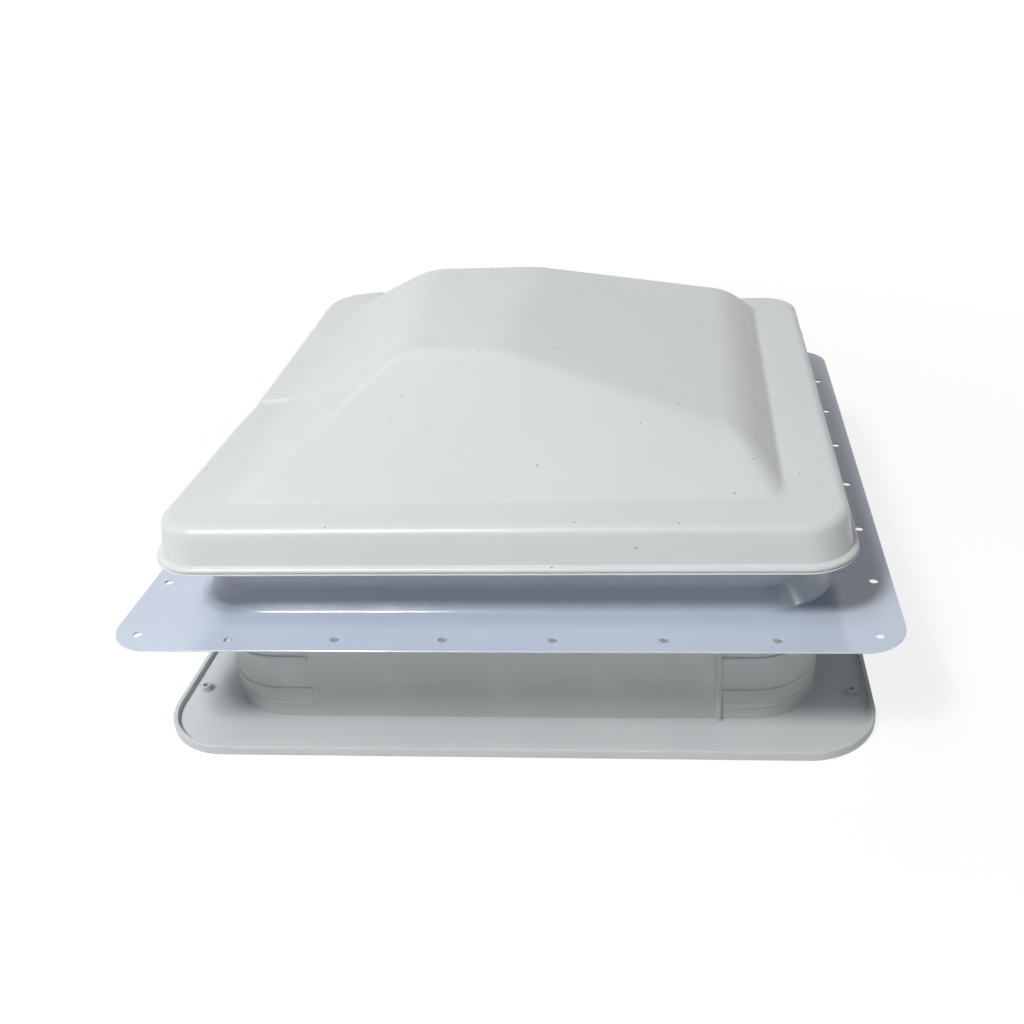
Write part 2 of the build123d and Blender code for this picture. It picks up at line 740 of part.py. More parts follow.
# Gearbox housing, open to the arm, riveted by its ears to the right wall of the collar
with BuildPart() as gearbox_housing:
    low = (housing_open_x, housing_front_y, housing_bottom)
    block(low, (collar_inner_reach, housing_back_y, housing_top))
    fillet(gearbox_housing.edges().filter_by(Axis.X), housing_wall)
    low = (
        housing_floor_x,
        housing_front_y - housing_ear,
        ear_centre_z - housing_ear_height / 2,
    )
    high = (
        collar_inner_reach,
        housing_back_y + housing_ear,
        ear_centre_z + housing_ear_height / 2,
    )
    block(low, high)
    for y, z in cover_screw_places:
        half = lug_width / 2
        low = (housing_open_x, y - half, z - half)
        block(low, (housing_open_x + lug_length, y + half, z + half))
    low = (housing_open_x, housing_front_y + housing_wall, housing_floor_z)
    block(low, (housing_floor_x, housing_back_y - housing_wall, housing_ceiling_z), Mode.SUBTRACT)
    bush_hole = bush_radius + running_clearance
    start = (housing_floor_x, arm_pivot_y, arm_pivot_z)
    rod(start, bush_hole, housing_wall, "x", Mode.SUBTRACT)
    for z in (housing_bottom, housing_ceiling_z):
        rod((wheel_x, worm_y, z), bush_hole, housing_wall, "z", Mode.SUBTRACT)
    for y, z in housing_rivet_places:
        start = (housing_floor_x, y, z)
        rod(start, rivet_radius + running_clearance, housing_wall, "x", Mode.SUBTRACT)
    for y, z in cover_screw_places:
        start = (housing_open_x, y, z)
        rod(start, cover_screw_radius + running_clearance, lug_length, "x", Mode.SUBTRACT)
gearbox_housing.part.label = "gearbox_housing"
export_step(gearbox_housing.part, "parts/gearbox_housing.step")

# Gearbox cover on the arm's side
with BuildPart() as gearbox_cover:
    low = (cover_face_x, housing_front_y, housing_bottom)
    block(low, (housing_open_x, housing_back_y, housing_top))
    fillet(gearbox_cover.edges().filter_by(Axis.X), housing_wall)
    for y, z in cover_screw_places:
        half = lug_width / 2
        low = (cover_face_x, y - half, z - half)
        block(low, (housing_open_x, y + half, z + half))
    start = (cover_face_x, arm_pivot_y, arm_pivot_z)
    rod(start, bush_radius + running_clearance, housing_wall, "x", Mode.SUBTRACT)
    for y, z in cover_screw_places:
        start = (cover_face_x, y, z)
        rod(start, cover_screw_radius + running_clearance, housing_wall, "x", Mode.SUBTRACT)
        head_room = cover_screw_head_radius + running_clearance
        rod(start, head_room, cover_screw_sink, "x", Mode.SUBTRACT)
gearbox_cover.part.label = "gearbox_cover"
export_step(gearbox_cover.part, "parts/gearbox_cover.step")

# Four screws that hold the cover, sunk below its face
with BuildPart() as cover_screws:
    for y, z in cover_screw_places:
        seat = cover_face_x + cover_screw_sink
        rod((seat, y, z), cover_screw_radius, cover_screw_length, "x")
        start = (seat - cover_screw_head_height, y, z)
        rod(start, cover_screw_head_radius, cover_screw_head_height, "x")
cover_screws.part.label = "cover_screws"
export_step(cover_screws.part, "parts/cover_screws.step")

# Four rivets through the housing's ears and the collar
with BuildPart() as housing_rivets:
    for y, z in housing_rivet_places:
        rod((housing_floor_x, y, z), rivet_radius, housing_wall + sheet, "x")
        start = (housing_floor_x - rivet_head_height, y, z)
        rod(start, rivet_head_radius, rivet_head_height, "x")
        rod((collar_reach, y, z), rivet_tail_radius, rivet_tail_height, "x")
    heads = housing_rivets.faces().filter_by_position(
        Axis.X, cover_face_x, housing_floor_x - rivet_head_height
    )
    fillet(heads.edges(), rivet_tail_height)
housing_rivets.part.label = "housing_rivets"
export_step(housing_rivets.part, "parts/housing_rivets.step")


def flanged_bush(seat):
    """A bush whose flange rests on a wall's inner face and whose body fills the wall."""
    with BuildPart(seat) as bush:
        on_face = (Align.CENTER, Align.CENTER, Align.MIN)
        behind = (Align.CENTER, Align.CENTER, Align.MAX)
        Cylinder(bush_radius, housing_wall, align=on_face)
        Cylinder(bush_flange_radius, bush_flange, align=behind)
        bore = worm_shaft_radius + running_clearance
        Cylinder(bore, housing_wall, align=on_face, mode=Mode.SUBTRACT)
        Cylinder(bore, bush_flange, align=behind, mode=Mode.SUBTRACT)
    return bush.part


# Bushes of the arm shaft, one in the cover and one in the housing
with BuildPart() as cover_bush:
    seat = Plane(origin=(housing_open_x, arm_pivot_y, arm_pivot_z), z_dir=(-1, 0, 0))
    add(flanged_bush(seat))
cover_bush.part.label = "cover_bush"
export_step(cover_bush.part, "parts/cover_bush.step")

with BuildPart() as housing_bush:
    seat = Plane(origin=(housing_floor_x, arm_pivot_y, arm_pivot_z), z_dir=(1, 0, 0))
    add(flanged_bush(seat))
housing_bush.part.label = "housing_bush"
export_step(housing_bush.part, "parts/housing_bush.step")

# Bushes of the worm shaft
with BuildPart() as lower_worm_bush:
    add(flanged_bush(Plane(origin=(wheel_x, worm_y, housing_floor_z), z_dir=(0, 0, -1))))
lower_worm_bush.part.label = "lower_worm_bush"
export_step(lower_worm_bush.part, "parts/lower_worm_bush.step")

with BuildPart() as upper_worm_bush:
    add(flanged_bush(Plane(origin=(wheel_x, worm_y, housing_ceiling_z), z_dir=(0, 0, 1))))
upper_worm_bush.part.label = "upper_worm_bush"
export_step(upper_worm_bush.part, "parts/upper_worm_bush.step")

# Worm shaft: square end for the knob, round shaft, two shoulders and the thread
thread_start = arm_pivot_z - worm_lead / 4 - worm_leads_below * worm_lead
thread_foot_depth = worm_pitch_radius - worm_shaft_radius + sheet / 2
thread_tip_depth = worm_tip_radius - worm_pitch_radius
with BuildPart() as worm_shaft:
    with BuildLine() as thread_line:
        helix_centre = (wheel_x, worm_y, thread_start)
        Helix(worm_lead, worm_lead * worm_turns, worm_pitch_radius, center=helix_centre)
    thread_plane = Plane(
        origin=thread_line.line @ 0, x_dir=(1, 0, 0), z_dir=thread_line.line % 0
    )
    with BuildSketch(thread_plane):
        with BuildLine():
            Polyline(
                (-thread_foot_depth, -thread_root_width / 2),
                (thread_tip_depth, -thread_tip_width / 2),
                (thread_tip_depth, thread_tip_width / 2),
                (-thread_foot_depth, thread_root_width / 2),
                close=True,
            )
        make_face()
    sweep(is_frenet=True)
    shaft_shoulder = knob_hub_top + seat_clearance
    shaft_top = housing_top - side_clearance
    rod((wheel_x, worm_y, shaft_shoulder), worm_shaft_radius, shaft_top - shaft_shoulder, "z")
    half = shaft_square / 2
    low = (wheel_x - half, worm_y - half, shaft_end)
    block(low, (wheel_x + half, worm_y + half, shaft_shoulder))
    lower_shoulder = housing_floor_z + bush_flange + side_clearance
    upper_shoulder = housing_ceiling_z - bush_flange - side_clearance - worm_shoulder_length
    for z in (lower_shoulder, upper_shoulder):
        rod((wheel_x, worm_y, z), worm_shoulder_radius, worm_shoulder_length, "z")
    hole_top = knob_seat + knob_screw_length + cut_overrun
    hole_radius = knob_screw_radius + running_clearance
    rod((wheel_x, worm_y, shaft_end), hole_radius, hole_top - shaft_end, "z", Mode.SUBTRACT)
worm_shaft.part.label = "worm_shaft"
export_step(worm_shaft.part, "parts/worm_shaft.step")

# Worm wheel: tooth spaces skewed to the thread, and a hub that runs from bush to bush
lead_angle = degrees(atan2(worm_lead, 2 * pi * worm_pitch_radius))
with BuildPart() as worm_wheel:
    start = (wheel_x - wheel_face_width / 2, arm_pivot_y, arm_pivot_z)
    rod(start, wheel_tip_radius, wheel_face_width, "x")
    wheel_plane = Plane(
        origin=(wheel_x, arm_pivot_y, arm_pivot_z), x_dir=(0, -1, 0), z_dir=(1, 0, 0)
    )
    space_depth = wheel_tip_radius - wheel_root_radius + cut_overrun
    with Locations(wheel_plane):
        with PolarLocations(wheel_root_radius + space_depth / 2, wheel_teeth):
            Box(
                space_depth,
                wheel_space_width,
                2 * wheel_face_width,
                rotation=(-lead_angle, 0, 0),
                mode=Mode.SUBTRACT,
            )
    hub_length = wheel_hub_end - wheel_hub_start
    rod((wheel_hub_start, arm_pivot_y, arm_pivot_z), wheel_hub_radius, hub_length, "x")
    bore = arm_shaft_radius + running_clearance
    rod((wheel_hub_start, arm_pivot_y, arm_pivot_z), bore, hub_length, "x", Mode.SUBTRACT)
    pin_x = wheel_hub_start + wheel_pin_inset
    pin_low = arm_pivot_z - wheel_hub_radius
    pin_hole = wheel_pin_radius + running_clearance
    rod((pin_x, arm_pivot_y, pin_low), pin_hole, 2 * wheel_hub_radius, "z", Mode.SUBTRACT)
worm_wheel.part.label = "worm_wheel"
export_step(worm_wheel.part, "parts/worm_wheel.step")

# Cross pin that locks the wheel to its shaft
with BuildPart() as wheel_pin:
    pin_length = 2 * (wheel_hub_radius - side_clearance)
    start = (pin_x, arm_pivot_y, pin_low + side_clearance)
    rod(start, wheel_pin_radius, pin_length, "z")
wheel_pin.part.label = "wheel_pin"
export_step(wheel_pin.part, "parts/wheel_pin.step")

# Arm shaft with a square end for the arm
with BuildPart() as arm_shaft:
    round_start = arm_plane_x + arm_thickness
    round_length = collar_inner_reach - side_clearance - round_start
    rod((round_start, arm_pivot_y, arm_pivot_z), arm_shaft_radius, round_length, "x")
    half = arm_square / 2
    low = (arm_plane_x + seat_clearance, arm_pivot_y - half, arm_pivot_z - half)
    block(low, (round_start, arm_pivot_y + half, arm_pivot_z + half))
    start = (arm_plane_x, arm_pivot_y, arm_pivot_z)
    hole_radius = arm_screw_radius + running_clearance
    rod(start, hole_radius, arm_screw_length + cut_overrun, "x", Mode.SUBTRACT)
    rod((pin_x, arm_pivot_y, pin_low), pin_hole, 2 * wheel_hub_radius, "z", Mode.SUBTRACT)
arm_shaft.part.label = "arm_shaft"
export_step(arm_shaft.part, "parts/arm_shaft.step")

# Lift arm, a flat steel lever
with BuildPart() as lift_arm:
    with BuildSketch(Plane.YZ.offset(arm_plane_x)):
        with Locations((arm_pivot_y, arm_pivot_z)):
            Circle(arm_hub_radius)
        with Locations((arm_tip_y, track_height)):
            Circle(arm_tip_radius)
        make_hull()
        with Locations((arm_pivot_y, arm_pivot_z)):
            fit = arm_square + 2 * running_clearance
            Rectangle(fit, fit, mode=Mode.SUBTRACT)
        with Locations((arm_tip_y, track_height)):
            Circle(roller_pin_radius + running_clearance, mode=Mode.SUBTRACT)
        middle = ((arm_pivot_y + arm_tip_y) / 2, (arm_pivot_z + track_height) / 2)
        with Locations(middle):
            slot_turn = -degrees(arm_rest_angle)
            span = arm_slot_length - arm_slot_width
            SlotCenterToCenter(span, arm_slot_width, rotation=slot_turn, mode=Mode.SUBTRACT)
    extrude(amount=arm_thickness)
lift_arm.part.label = "lift_arm"
export_step(lift_arm.part, "parts/lift_arm.step")

# Washer and screw that hold the arm on its shaft
with BuildPart() as arm_washer:
    start = (arm_plane_x - arm_washer_thickness, arm_pivot_y, arm_pivot_z)
    rod(start, arm_washer_radius, arm_washer_thickness, "x")
    hole_radius = arm_screw_radius + running_clearance
    rod(start, hole_radius, arm_washer_thickness, "x", Mode.SUBTRACT)
arm_washer.part.label = "arm_washer"
export_step(arm_washer.part, "parts/arm_washer.step")

with BuildPart() as arm_screw:
    seat = arm_plane_x - arm_washer_thickness
    rod((seat, arm_pivot_y, arm_pivot_z), arm_screw_radius, arm_screw_length, "x")
    start = (seat - arm_screw_head_height, arm_pivot_y, arm_pivot_z)
    rod(start, arm_screw_head_radius, arm_screw_head_height, "x")
arm_screw.part.label = "arm_screw"
export_step(arm_screw.part, "parts/arm_screw.step")

# Roller and the pin that is riveted into the arm's tip
with BuildPart() as roller:
    start = (roller_start_x, arm_tip_y, track_height)
    rod(start, roller_radius, roller_width, "x")
    fillet(roller.edges(), side_clearance)
    rod(start, roller_pin_radius + running_clearance, roller_width, "x", Mode.SUBTRACT)
roller.part.label = "roller"
export_step(roller.part, "parts/roller.step")

with BuildPart() as roller_pin:
    head_end = roller_start_x - side_clearance
    start = (head_end - roller_head_height, arm_tip_y, track_height)
    rod(start, roller_head_radius, roller_head_height, "x")
    start = (head_end, arm_tip_y, track_height)
    rod(start, roller_pin_radius, arm_plane_x + arm_thickness - head_end, "x")
    start = (arm_plane_x - roller_shoulder_length, arm_tip_y, track_height)
    rod(start, roller_shoulder_radius, roller_shoulder_length, "x")
    start = (arm_plane_x + arm_thickness, arm_tip_y, track_height)
    rod(start, roller_shoulder_radius, rivet_tail_height, "x")
roller_pin.part.label = "roller_pin"
export_step(roller_pin.part, "parts/roller_pin.step")

# Crank knob with scalloped grip, square socket and a recess for its screw
with BuildPart() as crank_knob:
    with BuildSketch(Plane.XY.offset(knob_bottom)):
        with Locations((wheel_x, worm_y)):
            Circle(knob_radius)
            scallop_reach = knob_radius + knob_scallop_radius - knob_scallop_depth
            with PolarLocations(scallop_reach, knob_scallops):
                Circle(knob_scallop_radius, mode=Mode.SUBTRACT)
    extrude(amount=knob_height)
    fillet(crank_knob.edges().filter_by(Axis.Z), knob_crest_rounding)
    rims = [
        e
        for z in (knob_bottom, knob_top)
        for e in crank_knob.edges().filter_by_position(Axis.Z, z, z)
    ]
    fillet(rims, knob_rounding)
    rod((wheel_x, worm_y, knob_top), knob_hub_radius, knob_hub_height, "z")
    rod((wheel_x, worm_y, knob_bottom), knob_recess_radius, knob_recess, "z", Mode.SUBTRACT)
    hole_radius = knob_screw_radius + running_clearance
    rod((wheel_x, worm_y, knob_seat), hole_radius, knob_web, "z", Mode.SUBTRACT)
    half = shaft_square / 2 + running_clearance
    low = (wheel_x - half, worm_y - half, socket_floor)
    block(low, (wheel_x + half, worm_y + half, knob_hub_top), Mode.SUBTRACT)
crank_knob.part.label = "crank_knob"
export_step(crank_knob.part, "parts/crank_knob.step")

# Screw that holds the knob on the worm shaft
with BuildPart() as knob_screw:
    rod((wheel_x, worm_y, knob_seat), knob_screw_radius, knob_screw_length, "z")
    start = (wheel_x, worm_y, knob_seat - knob_screw_head_height)
    rod(start, knob_screw_head_radius, knob_screw_head_height, "z")
knob_screw.part.label = "knob_screw"
export_step(knob_screw.part, "parts/knob_screw.step")


def sleeve_body(inset):
    """The tapered sleeve's outline from the room face to its top, set in by the wall."""
    overrun = cut_overrun if inset else 0
    with BuildPart() as body:
        with BuildSketch(Plane.XY.offset(-overrun)):
            rounded_square(sleeve_reach - inset, sleeve_corner_radius - inset)
        with BuildSketch(Plane.XY.offset(sleeve_top + overrun)):
            rounded_square(sleeve_top_reach - inset, sleeve_top_radius - inset)
        loft()
    return body.part


# Inside trim: panel with a raised edge, sleeve, screen ledge and screw bosses
with BuildPart() as inside_trim:
    with BuildSketch():
        rounded_square(trim_reach, trim_corner_radius)
    extrude(amount=trim_lip_height)
    fillet(inside_trim.edges().filter_by_position(Axis.Z, 0, 0), trim_edge_rounding)
    with BuildSketch(Plane.XY.offset(trim_panel)):
        tray_radius = trim_corner_radius - trim_lip_width
        rounded_square(trim_reach - trim_lip_width, tray_radius)
    extrude(amount=trim_lip_height - trim_panel, mode=Mode.SUBTRACT)
    add(sleeve_body(0))
    for turn in (0, 180):
        with Locations(Rot(0, 0, turn)):
            low_y = -sleeve_reach - trim_rib_depth
            with Locations((trim_rib_x, low_y / 2, trim_panel)):
                rib_height = sleeve_top - root_radius - trim_panel
                upright = (Align.CENTER, Align.CENTER, Align.MIN)
                Box(trim_rib_width, -low_y, rib_height, align=upright)
    for z in band_bottoms:
        with BuildSketch(Plane.XY.offset(z)):
            rounded_square(sleeve_reach + band_depth, sleeve_corner_radius + band_depth)
            rounded_square(sleeve_top_reach, sleeve_top_radius, Mode.SUBTRACT)
            Rectangle(2 * band_reach, 2 * trim_reach, mode=Mode.SUBTRACT)
            Rectangle(2 * trim_reach, 2 * band_reach, mode=Mode.SUBTRACT)
        extrude(amount=band_height)
    add(sleeve_body(sleeve_wall), mode=Mode.SUBTRACT)
    with BuildSketch(Plane.XY.offset(ledge_bottom)):
        in_wall = sleeve_top_reach - sleeve_wall / 2
        rounded_square(in_wall, sleeve_top_radius - sleeve_wall / 2)
        ledge_radius = frame_inner_radius + ledge_inner_reach - frame_inner_reach
        rounded_square(ledge_inner_reach, ledge_radius, Mode.SUBTRACT)
    extrude(amount=ledge_thickness)
    with BuildSketch(Plane.XY.offset(ledge_bottom)):
        with GridLocations(2 * screen_screw_x, 2 * screen_screw_y, 2, 2):
            Circle(screen_boss_radius)
    extrude(amount=screen_boss_height)
    with BuildSketch(Plane.XY.offset(ledge_bottom)):
        with GridLocations(2 * screen_screw_x, 2 * screen_screw_y, 2, 2):
            Circle(screen_screw_radius + running_clearance)
    extrude(amount=screen_boss_height - cut_overrun, mode=Mode.SUBTRACT)
    with BuildSketch(Plane.XY.offset(trim_panel)):
        with GridLocations(ceiling_screw_spacing_x, ceiling_screw_spacing_y, 2, 2):
            Circle(ceiling_boss_radius)
    extrude(amount=ceiling_boss_height)
    with BuildSketch():
        with GridLocations(ceiling_screw_spacing_x, ceiling_screw_spacing_y, 2, 2):
            Circle(ceiling_hole_radius)
    extrude(amount=trim_panel + ceiling_boss_height, mode=Mode.SUBTRACT)
    with BuildSketch():
        with GridLocations(ceiling_screw_spacing_x, ceiling_screw_spacing_y, 2, 2):
            Circle(ceiling_sink_radius)
    extrude(amount=ceiling_sink_depth, mode=Mode.SUBTRACT)
inside_trim.part.label = "inside_trim"
export_step(inside_trim.part, "parts/inside_trim.step")

# Screen frame with a rebate for the net and a pad round the worm shaft
frame_outer_reach = sleeve_inner_reach(ledge_bottom) - frame_edge_gap
frame_outer_radius = sleeve_top_radius - sleeve_wall - frame_edge_gap
with BuildPart() as screen_frame:
    with BuildSketch(Plane.XY.offset(frame_bottom)):
        rounded_square(frame_outer_reach, frame_outer_radius)
        rounded_square(frame_inner_reach, frame_inner_radius, Mode.SUBTRACT)
    extrude(amount=frame_thickness)
    with BuildSketch(Plane.XY.offset(frame_bottom)):
        with Locations((wheel_x, worm_y)):
            Circle(port_pad_radius)
    extrude(amount=frame_thickness)
    with BuildSketch(Plane.XY.offset(net_bottom)):
        rebate_reach = net_reach + seat_clearance
        rebate_radius = frame_inner_radius + rebate_reach - frame_inner_reach
        rounded_square(rebate_reach, rebate_radius)
    extrude(amount=net_rebate, mode=Mode.SUBTRACT)
    rod((wheel_x, worm_y, frame_bottom), port_radius, frame_thickness, "z", Mode.SUBTRACT)
    with BuildSketch(Plane.XY.offset(frame_bottom)):
        with GridLocations(2 * screen_screw_x, 2 * screen_screw_y, 2, 2):
            Circle(screen_screw_radius + running_clearance)
    extrude(amount=frame_thickness, mode=Mode.SUBTRACT)
    with BuildSketch(Plane.XY.offset(frame_bottom)):
        with GridLocations(2 * screen_screw_x, 2 * screen_screw_y, 2, 2):
            Circle(screen_screw_head_radius + running_clearance)
    extrude(amount=screen_screw_head_height, mode=Mode.SUBTRACT)
screen_frame.part.label = "screen_frame"
export_step(screen_frame.part, "parts/screen_frame.step")

# Insect net, a thin sheet of narrow meshes in rows, closed round the port
net_pitch = 2 * frame_inner_reach / net_rows
net_length = 2 * frame_inner_reach / net_columns
row_places = [net_pitch * (i + 1 / 2) - frame_inner_reach for i in range(net_rows)]
crossings = [net_length * i - frame_inner_reach for i in range(net_columns + 1)]


def row_reach(y):
    """How far a row may run before it meets the frame's rounded corner."""
    straight = frame_inner_reach - frame_inner_radius
    past = max(abs(y) + net_pitch / 2 - straight, 0)
    return straight + sqrt(max(frame_inner_radius**2 - past**2, 0))


def row_end(y):
    """Where a row ends on the right, short of the port's pad if it meets that."""
    beside_port = abs(y - worm_y) > port_pad_radius + net_pitch / 2
    return row_reach(y) if beside_port else wheel_x - port_pad_radius


meshes = {}
for y in row_places:
    for start, end in zip(crossings, crossings[1:]):
        low = max(start, -row_reach(y)) + net_bar / 2
        high = min(end, row_end(y)) - net_bar / 2
        meshes.setdefault(round(high - low, 3), []).append(((low + high) / 2, y))

with BuildPart() as screen_net:
    with BuildSketch(Plane.XY.offset(net_bottom)):
        rounded_square(net_reach, frame_inner_radius + net_reach - frame_inner_reach)
        for length, places in meshes.items():
            with Locations(places):
                Rectangle(length, net_pitch - net_bar, mode=Mode.SUBTRACT)
        with Locations((wheel_x, worm_y)):
            Circle(port_radius, mode=Mode.SUBTRACT)
    extrude(amount=net_thickness)
screen_net.part.label = "screen_net"
export_step(screen_net.part, "parts/screen_net.step")

# Four screws that hold the screen under its ledge
with BuildPart() as screen_screws:
    for x in (-screen_screw_x, screen_screw_x):
        for y in (-screen_screw_y, screen_screw_y):
            seat = frame_bottom + screen_screw_head_height
            rod((x, y, seat), screen_screw_radius, screen_screw_length, "z")
            start = (x, y, frame_bottom)
            rod(start, screen_screw_head_radius, screen_screw_head_height, "z")
screen_screws.part.label = "screen_screws"
export_step(screen_screws.part, "parts/screen_screws.step")
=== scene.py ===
from math import cos, pi, radians, sin

import bmesh
import bpy
import numpy as np
from mathutils import Matrix, Vector


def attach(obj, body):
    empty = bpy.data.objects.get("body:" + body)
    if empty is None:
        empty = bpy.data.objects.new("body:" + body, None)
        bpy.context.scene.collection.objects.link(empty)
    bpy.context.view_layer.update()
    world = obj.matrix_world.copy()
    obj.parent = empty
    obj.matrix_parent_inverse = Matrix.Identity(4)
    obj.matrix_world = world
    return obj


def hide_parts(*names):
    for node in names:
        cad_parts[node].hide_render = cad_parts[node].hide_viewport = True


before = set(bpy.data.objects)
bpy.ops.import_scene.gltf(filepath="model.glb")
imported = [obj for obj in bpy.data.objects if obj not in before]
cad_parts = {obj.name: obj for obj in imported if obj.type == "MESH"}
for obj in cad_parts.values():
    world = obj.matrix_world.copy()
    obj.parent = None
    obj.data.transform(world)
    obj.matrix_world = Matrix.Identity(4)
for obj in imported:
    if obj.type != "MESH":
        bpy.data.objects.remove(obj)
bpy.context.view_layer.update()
scene = bpy.context.scene
scene.view_settings.view_transform = "Standard"

# The camera stands in front of the vent, a little to its right and above it, as for a product picture.
# Its place, tilt and lens follow from the rows of screw holes in the flange.
camera_roll, camera_dip, camera_pan = radians(-3.04), radians(27.961), radians(-5.427)
camera = bpy.data.objects.new("camera", bpy.data.cameras.new("camera"))
scene.collection.objects.link(camera)
tilt = Matrix.Rotation(camera_roll, 3, "Y") @ Matrix.Rotation(camera_dip, 3, "X")
right, ahead, up = tilt @ Matrix.Rotation(camera_pan, 3, "Z")
camera.matrix_world = Matrix((right, up, -ahead)).transposed().to_4x4()
camera.location = (0.10385, -0.69519, 0.42748)
camera.data.lens = 39.01
camera.data.sensor_width = 36
camera.data.shift_x = -0.0820
camera.data.shift_y = -0.0155
camera.data.clip_start = 0.01
scene.camera = camera


# Soft studio light: a main lamp in front, above and to the left, three weaker ones, and a pale room.
# The room and the floor look white to the camera, in reflections and through openings.
vent_middle = Vector((0, 0, 0.12))


def lamp(name, place, size, watts):
    """A square area lamp at a place, turned towards the middle of the vent."""
    light = bpy.data.lights.new(name, "AREA")
    light.shape, light.size, light.energy = "SQUARE", size, watts
    rig = bpy.data.objects.new(name, light)
    scene.collection.objects.link(rig)
    rig.location = place
    rig.rotation_euler = (vent_middle - Vector(place)).to_track_quat("-Z", "Y").to_euler()


lamp("main_lamp", (-0.81, -1.27, 1.95), 0.44, 42)
lamp("side_lamp", (-0.95, -0.62, 2.05), 0.60, 7.5)
lamp("filling_lamp", (1.62, -0.48, 1.26), 0.32, 2.2)
lamp("back_lamp", (-0.90, 1.30, 1.90), 1.20, 6.5)

room = bpy.data.worlds.new("room")
scene.world = room
room.use_nodes = True


class Value:
    """A node socket that takes part in maths; each expression adds its Math nodes."""

    def __init__(self, nodes, socket):
        self.nodes, self.socket = nodes, socket

    def maths(self, operation, other):
        return self.nodes.node("Math", {0: self, 1: other}, operation=operation)

    def __add__(self, other):
        return self.maths("ADD", other)

    def __sub__(self, other):
        return self.maths("SUBTRACT", other)

    def __mul__(self, other):
        return self.maths("MULTIPLY", other)

    def __gt__(self, other):
        return self.maths("GREATER_THAN", other)

    def __lt__(self, other):
        return self.maths("LESS_THAN", other)


class Nodes:
    """A node tree: node() adds any node, sets it up and returns one of its outputs."""

    def __init__(self, tree):
        self.tree = tree
        tree.nodes.clear()

    def node(self, kind, inputs={}, out=0, stops=None, **settings):
        families = ["ShaderNode", "GeometryNode", "FunctionNode"]
        if self.tree.bl_idname == "GeometryNodeTree":
            families.append(families.pop(0))
        made = self.tree.nodes.new(next(f + kind for f in families if hasattr(bpy.types, f + kind)))
        for name, setting in settings.items():
            setattr(made, name, setting)
        if stops:
            ramp = made.color_ramp
            while len(ramp.elements) < len(stops):
                ramp.elements.new(1)
            for element, (place, shade) in zip(ramp.elements, stops):
                element.position = place
                element.color = (shade, shade, shade, 1)
        for name, value in inputs.items():
            for item in value if isinstance(value, list) else [value]:
                if isinstance(item, Value):
                    self.tree.links.new(item.socket, made.inputs[name])
                else:
                    made.inputs[name].default_value = item
        return Value(self, made.outputs[out])

    def noise(self, place, scale, detail, roughness=0.5):
        """Even noise from 0 to 1 at a scale in cycles a metre."""
        wanted = {"Vector": place, "Scale": scale, "Detail": detail, "Roughness": roughness}
        return self.node("TexNoise", wanted, noise_dimensions="3D")

    def mix(self, share, first, second):
        """Goes from the first colour to the second as the share goes from 0 to 1."""
        first, second = ((*c, 1) if isinstance(c, tuple) else c for c in (first, second))
        return self.node("Mix", {0: share, 6: first, 7: second}, out=2, data_type="RGBA")

    def ramp(self, value, *stops):
        """A grey ramp through (place, grey) stops."""
        return self.node("ValToRGB", {0: value}, stops=stops)

    def stretched_noise(self, place, turn, scale):
        """Noise drawn out along one way, for scuffs and scratches."""
        drawn = self.node("Mapping", {"Vector": place, "Rotation": turn, "Scale": scale})
        return self.noise(drawn, 1, 3, 0.6)

    def cut(self, solid, tools):
        """A solid less one or more tools."""
        parts = {"Mesh 1": solid, "Mesh 2": tools}
        return self.node("MeshBoolean", parts, operation="DIFFERENCE", solver="EXACT")


room_nodes = Nodes(room.node_tree)
camera_path, glossy_path, through_path = (
    room_nodes.node("LightPath", out=name)
    for name in ("Is Camera Ray", "Is Glossy Ray", "Is Transmission Ray")
)
seen = camera_path + glossy_path + through_path > 0.5
room_light, seen_light = 0.09, 1.0
dim = room_nodes.node("Background", {"Color": (1, 1, 1, 1), "Strength": room_light})
white = room_nodes.node("Background", {"Color": (1, 1, 1, 1), "Strength": seen_light})
sky = room_nodes.node("MixShader", {0: seen, 1: dim, 2: white})
room_output = room.node_tree.nodes.new("ShaderNodeOutputWorld")
room.node_tree.links.new(sky.socket, room_output.inputs["Surface"])


# Pale studio floor. It stays white and shows only a faint shadow round the vent, which fades between
# 0.36 m and 1.1 m from its middle.
def blank(name):
    """A new material with an empty tree, and the place on the piece that its looks depend on."""
    material = bpy.data.materials.new(name)
    material.use_nodes = True
    nodes = Nodes(material.node_tree)
    return material, nodes, nodes.node("TexCoord", out="Object")


def surface(nodes, shader):
    """Gives a tree its output."""
    output = nodes.tree.nodes.new("ShaderNodeOutputMaterial")
    nodes.tree.links.new(shader.socket, output.inputs["Surface"])


far = 9
floor_mesh = bpy.data.meshes.new("floor")
floor_mesh.from_pydata([(-far, -far, 0), (far, -far, 0), (far, far, 0), (-far, far, 0)], [], [(0, 1, 2, 3)])
floor = bpy.data.objects.new("floor", floor_mesh)
scene.collection.objects.link(floor)
floor_paint, nodes, place = blank("floor_paint")
camera_path = nodes.node("LightPath", out="Is Camera Ray")
glossy_path = nodes.node("LightPath", out="Is Glossy Ray")
away = nodes.node("VectorMath", {0: place}, out="Value", operation="LENGTH")
plain = nodes.ramp(away * 0.5, (0.18, 0.80), (0.55, 1.0))
matte = nodes.node("BsdfDiffuse", {"Color": (0.9, 0.9, 0.9, 1)})
glow = nodes.node("Emission", {"Color": (1, 1, 1, 1), "Strength": 1.05})
shown = camera_path + glossy_path > 0.5
surface(nodes, nodes.node("MixShader", {0: shown * plain, 1: matte, 2: glow}))
floor_mesh.materials.append(floor_paint)


